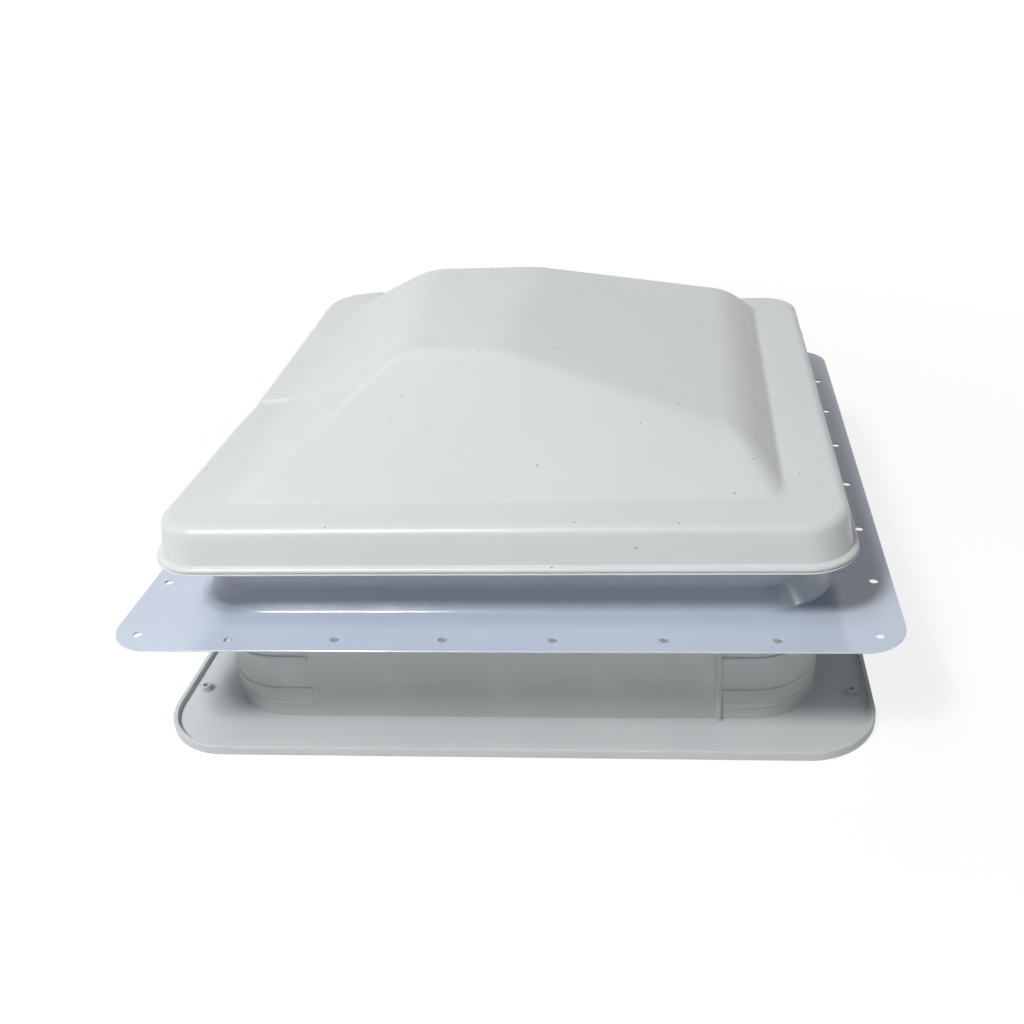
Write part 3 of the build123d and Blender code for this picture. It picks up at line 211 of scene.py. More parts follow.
# Lid: one moulding of white plastic, slightly weathered, with a raised five-sided form on a flat deck.
# The left side of the deck rises towards the back, and a shallow pad is sunk into its left edge.
# A beaded lip runs round the skirt; inside are a sealing rib, hinge pads and two rail posts.
mm = 0.001
crisp_angle = 32
deck_height, plateau_height = 142.4, 187.2
lid_shift, lid_wall = -7.1, 2.5
deck_reach, deck_corner, deck_edge, corner_ease, skirt_slope = 189.1, 24.6, 5.5, 1.5, 0.104
lip_reach, lip_corner, lip_bottom, lip_width = 195.0, 30.5, 117.3, 5.6
inner_reach, inner_corner, inner_edge = 186.7, 22.0, 3.0
edge_turn = radians(84)

# planes of the raised form, and how widely each is rounded into the others
form_reach, form_front = 155.7, 165.7
front_slope, right_slope, back_slope = 0.384, 0.9, 2.0
left_slope, left_skew, left_x, left_y = 0.53, 0.046, 77.8, 49.1
fall_slope, fall_height = 0.1775, 185.26
fall_round, left_round, front_round, right_round, back_round = 1.5, 7.0, 3.2, 7.5, 11.0
foot_least, foot_front, foot_left, foot_right = 0.1, 1.1, 7.0, 0.1

# the deck's rise towards the back left, and the pad in its left edge
rise_back_slope, rise_start, rise_left_slope, rise_round = 0.055, 4.8, 0.09, 2.5
rise_end_slope, rise_end, rise_foot = 0.466, -118.0, 0.5
pad_side, pad_back, pad_edge, pad_depth, pad_front, pad_fade = -152.0, -18.0, 1.2, 1.3, -58.0, 36.0


def soft_min(first, second, width):
    """The lower of two height fields, with their crossing rounded."""
    share = np.clip(0.5 + 0.5 * (second - first) / width, 0, 1)
    return second + (first - second) * share - width * share * (1 - share)


def slopes(field, x, y, step):
    """How fast a height field rises along x and along y."""
    along = (field(x + step, y) - field(x - step, y)) / (2 * step)
    across = (field(x, y + step) - field(x, y - step)) / (2 * step)
    return along, across


def raised_form(x, y):
    """Height of the raised form: the lowest of its planes, rounded where they meet."""
    planes = (
        (fall_height - fall_slope * x, fall_round),
        (plateau_height + left_slope * (x + left_x) + left_skew * (y + left_y), left_round),
        (deck_height + front_slope * (y + form_front), front_round),
        (deck_height + right_slope * (form_reach - x), right_round),
        (deck_height + back_slope * (form_reach - y), back_round),
    )
    form = np.full_like(x, plateau_height)
    for plane, rounding in planes:
        form = soft_min(form, plane, rounding)
    return form


def lid_height(x, y):
    """Height of the lid's outer face over a place on its plan."""
    rise = deck_height + rise_back_slope * (y - rise_start) + rise_left_slope * (x + deck_reach)
    rise = soft_min(rise, deck_height + rise_end_slope * (rise_end - x), rise_round)
    deck = -soft_min(-rise, -np.full_like(x, deck_height), rise_foot)
    along, across = slopes(raised_form, x, y, 0.5)
    foot_side = np.where(along > 0, foot_left, foot_right)
    foot = foot_least + foot_front * np.abs(across) + foot_side * np.abs(along)
    height = -soft_min(-raised_form(x, y), -deck, foot)
    in_pad = np.clip((pad_side - x) / pad_edge, 0, 1) * np.clip((pad_back - y) / pad_edge, 0, 1)
    return height - pad_depth * in_pad * np.clip((y - pad_front) / pad_fade, 0, 1)


def inner_height(x, y):
    """Height of the lid's inner face, one wall below its outer face."""
    along, across = slopes(lid_height, x, y, 1.0)
    return lid_height(x, y) - lid_wall * np.sqrt(1 + along**2 + across**2)


def rounded_loop(steps, reach, radius):
    """Points and outward directions round a rounded square, eight times the steps, evenly spaced."""
    straight = reach - radius
    share = np.arange(-steps, steps) / steps
    run = np.abs(share) * (straight + radius * pi / 4)
    angle = np.clip((run - straight) / radius, 0, None)
    side = np.sign(share) * np.where(run > straight, straight + radius * np.sin(angle), run)
    out = straight + radius * np.cos(angle)
    side_way, out_way = np.sign(share) * np.sin(angle), np.cos(angle)
    points, ways = [], []
    for ox, oy, ax, ay in ((0, -1, 1, 0), (1, 0, 0, 1), (0, 1, -1, 0), (-1, 0, 0, -1)):
        points.append(np.stack([ox * out + ax * side, oy * out + ay * side], 1))
        ways.append(np.stack([ox * out_way + ax * side_way, oy * out_way + ay * side_way], 1))
    return np.concatenate(points), np.concatenate(ways)


def square_rings(steps):
    """Grid places of each square ring, in the order of a rounded loop's points."""
    rings = []
    for m in range(1, steps + 1):
        run = np.arange(-m, m)
        level = np.full_like(run, m)
        i = np.concatenate([run, level, -run, -level])
        j = np.concatenate([-level, run, level, -run])
        rings.append((i, j))
    return rings


def crisp(piece, angle=crisp_angle):
    """Smooth faces, with edges sharper than an angle kept crisp."""
    piece.data.polygons.foreach_set("use_smooth", [True] * len(piece.data.polygons))
    piece.data.set_sharp_from_angle(angle=radians(angle))


class Shell:
    """Points and faces of a mesh in the making, in millimetres."""

    def __init__(self):
        self.points, self.faces, self.count = [], [], 0

    def add(self, points):
        start = self.count
        self.points.append(np.asarray(points, float))
        self.count += len(points)
        return np.arange(start, self.count)

    def loop(self, steps, reach, radius, height, shift=(0, 0)):
        """A level loop round a rounded square."""
        flat = rounded_loop(steps, reach, radius)[0] + shift
        return self.add(np.column_stack([flat, np.full(len(flat), height)]))

    def ring(self, x, y, radius, height, sides):
        """A level ring round a place."""
        turns = [2 * pi * k / sides for k in range(sides)]
        return self.add([(x + radius * cos(a), y + radius * sin(a), height) for a in turns])

    def band(self, low, high):
        """Quads between two loops of the same length, facing out where high lies above low."""
        after = np.roll(low, -1), np.roll(high, -1)
        self.faces += np.column_stack([low, after[0], after[1], high]).tolist()

    def bands(self, loops):
        """Bands from each loop to the next."""
        for low, high in zip(loops, loops[1:]):
            self.band(low, high)

    def closed(self, loops):
        """Bands from each loop to the next, and from the last one back to the first."""
        self.bands(loops + loops[:1])

    def capped(self, loops):
        """Bands from each loop to the next, with the first and the last loop filled."""
        self.bands(loops)
        self.faces += [loops[0].tolist(), loops[-1].tolist()]

    def sweep(self, steps, section):
        """A closed section of (reach, corner radius, height) carried round the square."""
        self.closed([self.loop(steps, *place) for place in section])

    def object(self, name, material, sharp=crisp_angle):
        """The finished mesh object, in metres, with edges sharper than an angle kept crisp."""
        mesh = bpy.data.meshes.new(name)
        mesh.from_pydata((np.concatenate(self.points) * mm).tolist(), [], self.faces)
        mesh.validate()
        mesh.materials.append(material)
        cleaned = bmesh.new()
        cleaned.from_mesh(mesh)
        bmesh.ops.remove_doubles(cleaned, verts=cleaned.verts, dist=1e-6)
        bmesh.ops.recalc_face_normals(cleaned, faces=cleaned.faces)
        cleaned.to_mesh(mesh)
        cleaned.free()
        piece = bpy.data.objects.new(name, mesh)
        scene.collection.objects.link(piece)
        crisp(piece, sharp)
        return piece


def lid_skin(shell, steps, reach, corner, height, skirt_to):
    """A grid that covers the lid's plan with a height field, narrowed where it stands tall."""
    x = np.zeros((2 * steps + 1, 2 * steps + 1))
    y = np.zeros_like(x)
    for m, (i, j) in enumerate(square_rings(steps), 1):
        share = m / steps
        points, ways = rounded_loop(m, reach * share, corner * share)
        tall = height(points[:, 0], points[:, 1] + lid_shift) - skirt_to
        points = points - ways * (tall * skirt_slope * share**6)[:, None]
        x[i + steps, j + steps], y[i + steps, j + steps] = points.T
    y += lid_shift
    places = np.stack([x.ravel(), y.ravel(), height(x, y).ravel()], 1)
    numbers = shell.add(places).reshape(x.shape)
    cells = [numbers[:-1, :-1], numbers[1:, :-1], numbers[1:, 1:], numbers[:-1, 1:]]
    shell.faces += np.stack([c.ravel() for c in cells], 1).tolist()
    i, j = square_rings(steps)[-1]
    edge = numbers[i + steps, j + steps]
    return edge, places[edge - numbers[0, 0]]


def turned_edge(shell, edge, places, ways, radius, low_loop, rows):
    """Rounds a grid's edge over and carries it straight down to a loop."""
    before = edge
    for k in range(1, rows + 1):
        angle = k / rows * edge_turn
        moved = places.copy()
        moved[:, :2] += ways * (radius * sin(angle))
        moved[:, 2] -= radius * (1 - cos(angle))
        after = shell.add(moved)
        shell.band(after, before)
        before, last = after, moved
    low = np.concatenate(shell.points)[low_loop]
    for share in (0.2, 0.4, 0.6, 0.8):
        after = shell.add(last * (1 - share) + low * share)
        shell.band(after, before)
        before = after
    shell.band(low_loop, before)


def block(shell, low, high, r=0.4):
    """A block between two corners, with chamfers of r on its upright and level edges."""
    (x0, y0, z0), (x1, y1, z1) = low, high
    rows = []
    for z, inset in ((z0, r), (z0 + r, 0), (z1 - r, 0), (z1, r)):
        a, b, c, d = x0 + inset, x1 - inset, y0 + inset, y1 - inset
        front, back = [(a + r, c), (b - r, c), (b, c + r)], [(b, d - r), (b - r, d), (a + r, d)]
        rows.append(shell.add([(px, py, z) for px, py in front + back + [(a, d - r), (a, c + r)]]))
    shell.capped(rows)


lid = Shell()
fine, coarse = 112, 56
grid_reach, grid_corner = deck_reach - deck_edge, deck_corner - deck_edge
edge, places = lid_skin(lid, fine, grid_reach, grid_corner + corner_ease, lid_height, deck_height)
ways = rounded_loop(fine, grid_reach, grid_corner)[1]
lip_profile = [
    (3.7, 5.0), (3.5, 4.4), (2.9, 4.05), (2.1, 3.95), (1.3, 3.7), (0.7, 3.2), (0.3, 2.5), (0.25, 1.9),
    (0.5, 1.4), (1.0, 1.1), (1.1, 0.85), (0.5, 0.7), (0.05, 0.5), (0, 0.25), (0.2, 0),
]
lip_loops = [
    lid.loop(fine, lip_reach - inset, lip_corner - inset, lip_bottom + rise, (0, lid_shift))
    for inset, rise in lip_profile
]
turned_edge(lid, edge, places, ways, deck_edge, lip_loops[0], 7)
for high, low in zip(lip_loops, lip_loops[1:]):
    lid.band(low, high)

# the lip's underside joins the fine outer loop to the coarse inner one
inner_lip = lid.loop(coarse, lip_reach - lip_width, lip_corner - lip_width, lip_bottom, (0, lid_shift))
for k in range(8 * coarse):
    outer = [lip_loops[-1][(2 * k + n) % (8 * fine)] for n in range(3)]
    inner = [inner_lip[k], inner_lip[(k + 1) % (8 * coarse)]]
    lid.faces += [[outer[1], outer[0], inner[0]], [outer[1], inner[0], inner[1]]]
    lid.faces.append([outer[2], outer[1], inner[1]])
outer_faces = len(lid.faces)
grid_reach, grid_corner = inner_reach - inner_edge, inner_corner - inner_edge
edge, places = lid_skin(lid, coarse, grid_reach, grid_corner, inner_height, deck_height - lid_wall)
ways = rounded_loop(coarse, grid_reach, grid_corner)[1]
turned_edge(lid, edge, places, ways, inner_edge, inner_lip, 4)
lid.faces[outer_faces:] = [face[::-1] for face in lid.faces[outer_faces:]]

# sealing rib, rail posts and hinge pads, moulded with the lid; rib and posts run 1 mm into its wall
rib_steps, rib_reach, rib_half, rib_corner, rib_bottom, sunk_in = 40, 172.0, 1.5, 34.0, 136.7, 1.0
post_x, post_places, post_bottom, post_radius = 123.5, (-86.0, 66.0), 138.25, 5.0
post_bore, post_bore_depth = 1.65, 10.5
hinge_places, hinge_pad_half = (-110.0, 110.0), 30
hinge_pad_low, hinge_pad_high = (179.2, 122.3), (182.4, 137.3)
sides = []
for out in (rib_half, -rib_half):
    flat = rounded_loop(rib_steps, rib_reach + out, rib_corner + out)[0]
    top = inner_height(flat[:, 0], flat[:, 1]) + sunk_in
    low = lid.add(np.column_stack([flat, np.full(len(flat), rib_bottom)]))
    sides.append((low, lid.add(np.column_stack([flat, top]))))
(outer_low, outer_top), (inner_low, inner_top) = sides
lid.closed([outer_low, outer_top, inner_top, inner_low])
for y in post_places:
    ceiling = float(inner_height(np.array([post_x]), np.array([y]))[0]) + sunk_in
    bore_top = post_bottom + post_bore_depth
    rings = [(post_bore, bore_top), (post_bore, post_bottom)]
    rings += [(post_radius, post_bottom), (post_radius, ceiling)]
    lid.capped([lid.ring(post_x, y, radius, height, 40) for radius, height in rings])
for x in hinge_places:
    block(lid, (x - hinge_pad_half, *hinge_pad_low), (x + hinge_pad_half, *hinge_pad_high))


def finished(nodes, tint, rough, relief, strength, depth, more={}):
    """Ends a material, with a relief of a strength and of a depth in metres."""
    bump = nodes.node("Bump", {"Height": relief, "Strength": strength, "Distance": depth})
    inputs = {"Base Color": tint, "Roughness": rough, "Normal": bump, **more}
    surface(nodes, nodes.node("BsdfPrincipled", inputs))


# The white plastic has a satin gloss, faint cloudy staining, sparse dark specks and fine scuffs.
lid_plastic, nodes, place = blank("lid_plastic")
cloud = nodes.noise(place, 9, 3)
grime = nodes.noise(place, 60, 4, 0.6)
speck_cells = {"Vector": place, "Scale": 90}
cells = nodes.node("TexVoronoi", speck_cells, feature="F1", out="Distance")
chosen = nodes.node("SeparateColor", {0: nodes.node("TexVoronoi", speck_cells, feature="F1", out="Color")})
specks = (cells < 0.045) * (chosen > 0.55)
tint = nodes.mix(nodes.ramp(cloud, (0.35, 0), (0.7, 1)), (0.606, 0.630, 0.629), (0.636, 0.658, 0.659))
tint = nodes.mix(nodes.ramp(grime, (0.62, 0), (0.8, 0.35)), tint, (0.56, 0.564, 0.543))
tint = nodes.mix(specks, tint, (0.10, 0.095, 0.08))
scuffs = nodes.ramp(nodes.stretched_noise(place, (0.3, 0.1, 0.6), (14, 220, 60)), (0.66, 0), (0.74, 1))
rough = nodes.ramp(grime, (0.3, 0.30), (0.8, 0.42)) + scuffs * 0.10
grain = nodes.noise(place, 1500, 2) * 0.6 + cloud * 1.5 + scuffs * 0.5
finished(nodes, tint, rough, grain, 0.05, 0.0006, {"IOR": 1.52})

lid_piece = lid.object("lid_shell_skin", lid_plastic, 40)
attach(lid_piece, "lid")
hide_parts("lid_shell")


# Roof flange: one deep-drawn pressing of steel sheet, 1 mm thick, in gloss enamel of a pale blue grey.
# The collar stands up out of its middle on a short sloping foot; one row of screw holes runs round its edge.
# The two hinges and the gearbox are riveted to the collar.
flange_reach, flange_corner, flange_top, sheet = 219.0, 25.0, 80.5, 1.0
collar_reach, collar_corner, collar_top, rim_ease = 172.5, 34.0, 130.0, 0.4
hole_pitch, hole_line, corner_hole, hole_level, hole_radius, punch_length = 60, 208.5, 204, 80, 2.6, 6


def mirrored(x, y):
    """A place on the plan and its three mirror images."""
    return [(a, b) for a in (-x, x) for b in (-y, y)]


def at_flange(inset, height):
    """A place of a section, inset from the flange's edge."""
    return flange_reach - inset, flange_corner - inset, height


def at_collar(out, height):
    """A place of a section, outside the collar's outer face."""
    return collar_reach + out, collar_corner + out, height


def spots(name, places):
    """A mesh of loose points, in metres."""
    points = bpy.data.meshes.new(name)
    points.from_pydata([tuple(mm * n for n in place) for place in places], [], [])
    return points


def grown(name, start, sizes, plan):
    """Runs a Geometry Nodes tree with named sizes on a mesh and gives the result as a plain object."""
    tree = bpy.data.node_groups.new(name, "GeometryNodeTree")
    tree.interface.new_socket("Start", in_out="INPUT", socket_type="NodeSocketGeometry")
    tree.interface.new_socket("Result", in_out="OUTPUT", socket_type="NodeSocketGeometry")
    for size in sizes:
        tree.interface.new_socket(size, in_out="INPUT", socket_type="NodeSocketFloat")
    nodes = Nodes(tree)
    given = tree.nodes.new("NodeGroupInput")
    inputs = {socket.name: Value(nodes, socket) for socket in given.outputs if socket.name}
    result = plan(nodes, inputs.pop("Start"), inputs)
    tree.links.new(result.socket, tree.nodes.new("NodeGroupOutput").inputs[0])
    piece = bpy.data.objects.new(name, start)
    scene.collection.objects.link(piece)
    growth = piece.modifiers.new("growth", "NODES")
    growth.node_group = tree
    for socket in tree.interface.items_tree:
        if socket.in_out == "INPUT" and socket.name in sizes:
            growth[socket.identifier] = float(sizes[socket.name])
    evaluated = piece.evaluated_get(bpy.context.evaluated_depsgraph_get())
    plain_mesh = bpy.data.meshes.new_from_object(evaluated)
    piece.modifiers.clear()
    piece.data = plain_mesh
    return piece


def pierced(blank_piece, places, radius, length, material):
    """A copy of a piece with round holes punched upright at the places; the piece itself goes."""

    def punch(nodes, start, size):
        punch_size = {"Vertices": 32, "Radius": size["Hole radius"], "Depth": size["Punch length"]}
        tool = nodes.node("MeshCylinder", punch_size)
        standing = nodes.node("InstanceOnPoints", {"Points": start, "Instance": tool})
        tools = nodes.node("RealizeInstances", {"Geometry": standing})
        solid = nodes.node("ObjectInfo", {"Object": blank_piece}, out="Geometry")
        cut = nodes.cut(solid, tools)
        return nodes.node("SetMaterial", {"Geometry": cut, "Material": material})

    name = blank_piece.name
    blank_piece.name = name + "_blank"
    sizes = {"Hole radius": radius * mm, "Punch length": length * mm}
    piece = grown(name, spots(name, places), sizes, punch)
    bpy.data.objects.remove(blank_piece)
    crisp(piece)
    return piece


# The collar's foot: a tight bend at the flange, a short slope and a wider bend into the wall.
foot_out, foot_lean, foot_bend, wall_bend, bend_rows = 13.5, radians(50), 4.0, 10.0, 8
slope_out = foot_out - foot_bend * sin(foot_lean) - wall_bend * (1 - sin(foot_lean))
foot_rise = foot_bend * (1 - cos(foot_lean)) + slope_out * sin(foot_lean) / cos(foot_lean)
collar_foot = []
for angle in np.linspace(0, foot_lean, bend_rows):
    collar_foot.append((foot_out - foot_bend * sin(angle), foot_bend * (1 - cos(angle)), angle))
for angle in np.linspace(foot_lean, pi / 2, bend_rows):
    rise = foot_rise + wall_bend * (cos(foot_lean) - cos(angle))
    collar_foot.append((wall_bend * (1 - sin(angle)), rise, angle))

# Gloss enamel: even colour with a faint orange-peel ripple and shallow dents, paler at fine scratches.
flange_enamel, nodes, place = blank("flange_enamel")
cloud = nodes.noise(place, 5, 2)
dust = nodes.noise(place, 140, 4, 0.65)
tint = nodes.mix(nodes.ramp(cloud, (0.3, 0), (0.7, 1)), (0.515, 0.583, 0.700), (0.550, 0.620, 0.735))
tint = nodes.mix(nodes.ramp(dust, (0.60, 0), (0.78, 0.35)), tint, (0.60, 0.65, 0.74))
scratches = nodes.ramp(nodes.stretched_noise(place, (0.1, 0.2, 0.35), (9, 260, 40)), (0.70, 0), (0.76, 1))
tint = nodes.mix(scratches * 0.3, tint, (0.58, 0.61, 0.68))
rough = nodes.ramp(dust, (0.35, 0.12), (0.8, 0.22)) + scratches * 0.15
ripple = nodes.noise(place, 330, 2) * 0.12 + nodes.noise(place, 11, 1) * 2.4
clear_coat = {"IOR": 1.5, "Coat Weight": 0.2, "Coat Roughness": 0.05}
finished(nodes, tint, rough, ripple, 0.30, 0.0006, clear_coat)

# The section starts and ends underneath the flange's edge.
flange_under, foot_start, wall_rows = flange_top - sheet, foot_out + 4, (100, 115, collar_top - rim_ease)
section = [at_flange(0.25, flange_under), at_flange(0, flange_under + 0.25), at_flange(0, flange_top - 0.3)]
section += [at_flange(0.3, flange_top), at_flange(3, flange_top), at_collar(foot_start, flange_top)]
section += [at_collar(out, flange_top + rise) for out, rise, _ in collar_foot]
section += [at_collar(0, height) for height in wall_rows]
section += [at_collar(-0.25, collar_top), at_collar(-0.75, collar_top)]
section += [at_collar(-sheet, height) for height in wall_rows[::-1]]
for out, rise, lean in collar_foot[::-1]:
    section.append(at_collar(out - sheet * sin(lean), flange_top + rise - sheet * cos(lean)))
section += [at_collar(foot_start, flange_under), at_flange(3, flange_under)]
pressing = Shell()
pressing.sweep(64, section)
edge_holes = [
    (*spot, hole_level)
    for run in range(-150, 151, hole_pitch)
    for spot in ((run, -hole_line), (run, hole_line), (hole_line, run), (-hole_line, run))
]
edge_holes += [(*spot, hole_level) for spot in mirrored(corner_hole, corner_hole)]
flange_piece = pressing.object("roof_flange_pressing", flange_enamel)
flange_piece = pierced(flange_piece, edge_holes, hole_radius, punch_length, flange_enamel)
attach(flange_piece, "base")
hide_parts("roof_flange")


# Rim seal: a length of black rubber profile pushed over the collar's rim and butted at the back.
# Two legs grip the sheet and a round bulb on top meets the rib under the lid. It needs no fixing.
rubber, nodes, place = blank("rubber")
bloom = nodes.noise(place, 70, 4, 0.6)
tint = nodes.mix(nodes.ramp(bloom, (0.4, 0), (0.75, 1)), (0.014, 0.014, 0.015), (0.035, 0.034, 0.033))
rough = nodes.ramp(bloom, (0.35, 0.48), (0.75, 0.70))
finished(nodes, tint, rough, nodes.noise(place, 900, 3), 0.12, 0.0004, {"Specular IOR Level": 0.4})

# The section: the outer leg, the bulb, the inner leg and the slot for the sheet.
bulb_middle, bulb_foot, bulb_half, bulb_rise, bulb_start = 0.5, 134.1, 2.5, 2.4, 0.2
rim = [(2.55, 124.6), (2.9, 124.5), (3.0, 124.9), (3.0, 126.2), (2.85, 126.5), (2.85, 127.2), (3.0, 127.5)]
rim += [(3.0, 128.8), (2.85, 129.1), (2.85, 129.8), (3.0, 130.1), (3.0, bulb_foot)]
for angle in np.linspace(bulb_start, pi - bulb_start, 12):
    rim.append((bulb_middle + bulb_half * cos(angle), bulb_foot + bulb_rise * sin(angle)))
rim += [(-2.0, bulb_foot), (-2.0, 130.1), (-1.85, 129.8), (-1.85, 129.1), (-2.0, 128.8), (-2.0, 124.9)]
rim += [(-1.9, 124.5), (-1.55, 124.6), (-0.65, 125.4), (-0.65, 130.0), (1.65, 130.0), (1.65, 125.4)]
profile = Shell()
profile.sweep(48, [at_collar(out - sheet, height) for out, height in rim])
seal_piece = profile.object("rim_seal_profile", rubber, 40)
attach(seal_piece, "base")
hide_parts("rim_seal")


# Inside trim: one moulding of pale grey plastic with a fine matte face. Its raised edge meets the ceiling,
# and its sleeve lines the cut-out and ends in the collar's root. Four screws go up through its bosses.
# A ledge inside the sleeve carries the screen; faint round marks show where pins pushed it off the mould.
trim_reach, trim_corner, trim_panel, trim_lip, edge_round = 211.5, 42.0, 3.0, 6.5, 1.5
sleeve_reach, sleeve_corner, sleeve_wall, sleeve_top = 179.0, 40.0, 2.5, 83.8
ledge_reach, ledge_corner, ledge_low, ledge_high = 160.0, 24.0, 44.8, 46.8
boss_places, screen_screw_places = mirrored(200, 154), mirrored(100.0, 166.55)
pin_marks = [(-147, -189.5), (-73, -188.5), (-2, -186), (71, -186.5), (144, -185.5)]
mark_inside, mark_outside = 0.0039, 0.0045

trim_plastic, nodes, place = blank("trim_plastic")
cloud = nodes.noise(place, 7, 3)
grime = nodes.noise(place, 55, 4, 0.6)
tint = nodes.mix(nodes.ramp(cloud, (0.3, 0), (0.7, 1)), (0.535, 0.565, 0.562), (0.575, 0.600, 0.594))
tint = nodes.mix(nodes.ramp(grime, (0.58, 0), (0.8, 0.5)), tint, (0.57, 0.57, 0.52))
rough = nodes.ramp(grime, (0.3, 0.50), (0.75, 0.64))
grain = nodes.noise(place, 1400, 2) * 0.35 + cloud * 1.2
for x, y in pin_marks + [(-x, -y) for x, y in pin_marks]:
    middle = (mm * x, mm * y, mm * trim_panel)
    away = nodes.node("VectorMath", {0: place, 1: middle}, out="Value", operation="DISTANCE")
    grain = grain + (away > mark_inside) * (away < mark_outside) * 1.5
finished(nodes, tint, rough, grain, 0.10, 0.0006, {"Specular IOR Level": 0.4})


def at_wall(inset, height):
    """A place inset from the sleeve's outer face, which narrows by 1 mm towards its top."""
    drawn = inset + height / sleeve_top
    return sleeve_reach - drawn, sleeve_corner - drawn, height


def from_edge(inset, height):
    """A place inset from the trim's outer edge."""
    return trim_reach - inset, trim_corner - inset, height


# The section: the raised edge, the panel, the sleeve's outside, its rim, the ledge and its inside.
lip_rows = ((0, -2.5), (0, -0.5), (0.12, -0.15), (0.45, 0), (2.2, 0), (2.55, -0.1), (2.7, -0.4))
panel_rows = ((2.7, 2.0), (2.7, 0.5), (2.85, 0.15), (3.2, 0), (5.2, 0), (28, 0))
root_rows = ((1.2, 0), (0.4, 0.05), (0.05, 0.3))
ledge_rows = ((0.8, ledge_high), (0, 46.4), (0, 45.2), (0.4, ledge_low))
section = [from_edge(edge_round * (1 - cos(a)), edge_round * (1 - sin(a))) for a in np.linspace(pi / 2, 0, 6)]
section += [from_edge(inset, trim_lip + rise) for inset, rise in lip_rows]
section += [from_edge(inset, trim_panel + rise) for inset, rise in panel_rows]
section += [(sleeve_reach + out, sleeve_corner + out, trim_panel + rise) for out, rise in root_rows]
section += [at_wall(0, height) for height in (4.2, 24, 64, 83.0)]
section += [at_wall(0.2, 83.6), at_wall(0.6, sleeve_top), at_wall(2.0, sleeve_top), at_wall(2.4, 83.5)]
section += [at_wall(sleeve_wall, height) for height in (82.5, 64, 47.6)]
section += [at_wall(2.75, 47.0), at_wall(3.3, ledge_high)]
section += [(ledge_reach + out, ledge_corner + out, height) for out, height in ledge_rows]
section += [at_wall(3.2, ledge_low), at_wall(2.6, 44.6)]
section += [at_wall(sleeve_wall, height) for height in (44.0, 24, 2.2)]
section += [at_wall(2.4, 1.2), at_wall(2.1, 0.6), at_wall(1.6, 0.2), at_wall(0.9, 0)]
section += [(190, 40, 0), from_edge(8, 0)]
trim = Shell()
trim.sweep(64, section)
trim_piece = trim.object("inside_trim_moulding", trim_plastic)

# screw holes through the bosses, then the recesses for the screws' heads
for level, radius, length in ((2.0, 1.7, 8), (0.0, 3.2, 3.2)):
    holes = [(x, y, level) for x, y in boss_places]
    trim_piece = pierced(trim_piece, holes, radius, length, trim_plastic)

# ceiling screw bosses, and the two stays that stand up the sleeve's outside
details = Shell()
boss_profile = [(3.9, 2.9), (3.6, 3.25), (3.5, 3.7), (3.4, 6.7), (3.15, 7.0), (2.0, 7.0), (1.75, 6.8)]
boss_profile += [(1.7, 6.5), (1.7, 2.9)]
for x, y in boss_places:
    details.closed([details.ring(x, y, radius, height, 40) for radius, height in boss_profile])
stay_x, stay_foot, stay_back = 120.2, 1.55, 177.0
stay_half = [(stay_foot, 0), (1.5, 1.2), (1.2, 1.6), (0.7, 1.8)]
stay_profile = [(-w, out) for w, out in stay_half] + stay_half[::-1]
for side in (-1, 1):
    rows = []
    for height, size in ((2.9, 1), (64.6, 1), (65.4, 0.82), (65.8, 0.45)):
        face = sleeve_reach - height / sleeve_top
        ring = [(side * (stay_x - w * size), -side * (face + out * size), height) for w, out in stay_profile]
        ring += [(side * (stay_x + w), -side * stay_back, height) for w in (-stay_foot, stay_foot)]
        rows.append(details.add(ring))
    details.capped(rows)

# three bands round each corner of the sleeve, thinned at their ends, and the bosses of the screen's screws
band_out, band_end_out, arc_middle = 0.5, 0.12, sleeve_reach - sleeve_corner
band_section = [(-0.9, 0), (0.1, 0), (0.4, 0.35), (band_out, 0.8), (band_out, 2.4), (0.38, 2.8), (0.1, 3.3)]
band_section += [(-0.9, 3.4)]
band_run = (121.0, 121.5, 125.0, 129.5, 134.0)
band_path = [(sleeve_reach, run, 1, 0) for run in band_run]
for angle in np.linspace(0, pi / 2, 22):
    nx, ny = cos(angle), sin(angle)
    band_path.append((arc_middle + sleeve_corner * nx, arc_middle + sleeve_corner * ny, nx, ny))
band_path += [(run, sleeve_reach, 0, 1) for run in band_run[::-1]]
for bottom in (11.1, 21.1, 43.8):
    for ax, ay in ((1, 0), (0, 1), (-1, 0), (0, -1)):
        rings = []
        for number, (px, py, nx, ny) in enumerate(band_path):
            most = band_end_out if number in (0, len(band_path) - 1) else band_out
            ring = []
            for out, rise in band_section:
                x, y = px + min(out, most) * nx, py + min(out, most) * ny
                ring.append((x * ax - y * ay, x * ay + y * ax, bottom + rise))
            rings.append(details.add(ring))
        details.capped(rings)
for x, y in screen_screw_places:
    details.capped([details.ring(x, y, 4.5, height, 40) for height in (46.0, 52.3)])
detail_piece = details.object("inside_trim_details", trim_plastic)
for piece in (trim_piece, detail_piece):
    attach(piece, "base")
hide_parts("inside_trim")
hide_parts("inside_trim")


# Hinges: two steel butt hinges across the back, zinc plated, each with five knuckles on a bright pin.
# The lower leaf is riveted to the collar with three aluminium blind rivets, and the upper leaf is screwed
# to the lid's pad with three stainless pan-head screws.
leaf_holes = [x + run for x in hinge_places for run in (-22.0, 0.0, 22.0)]
leaf_rivets = [(x, 173.7, 106.5) for x in leaf_holes]
leaf_screws = [(x, 178.0, 129.8) for x in leaf_holes]


def dress(material, *names):
    """Gives the solids of these names a finish."""
    for name in names:
        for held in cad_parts[name].material_slots:
            held.material = material


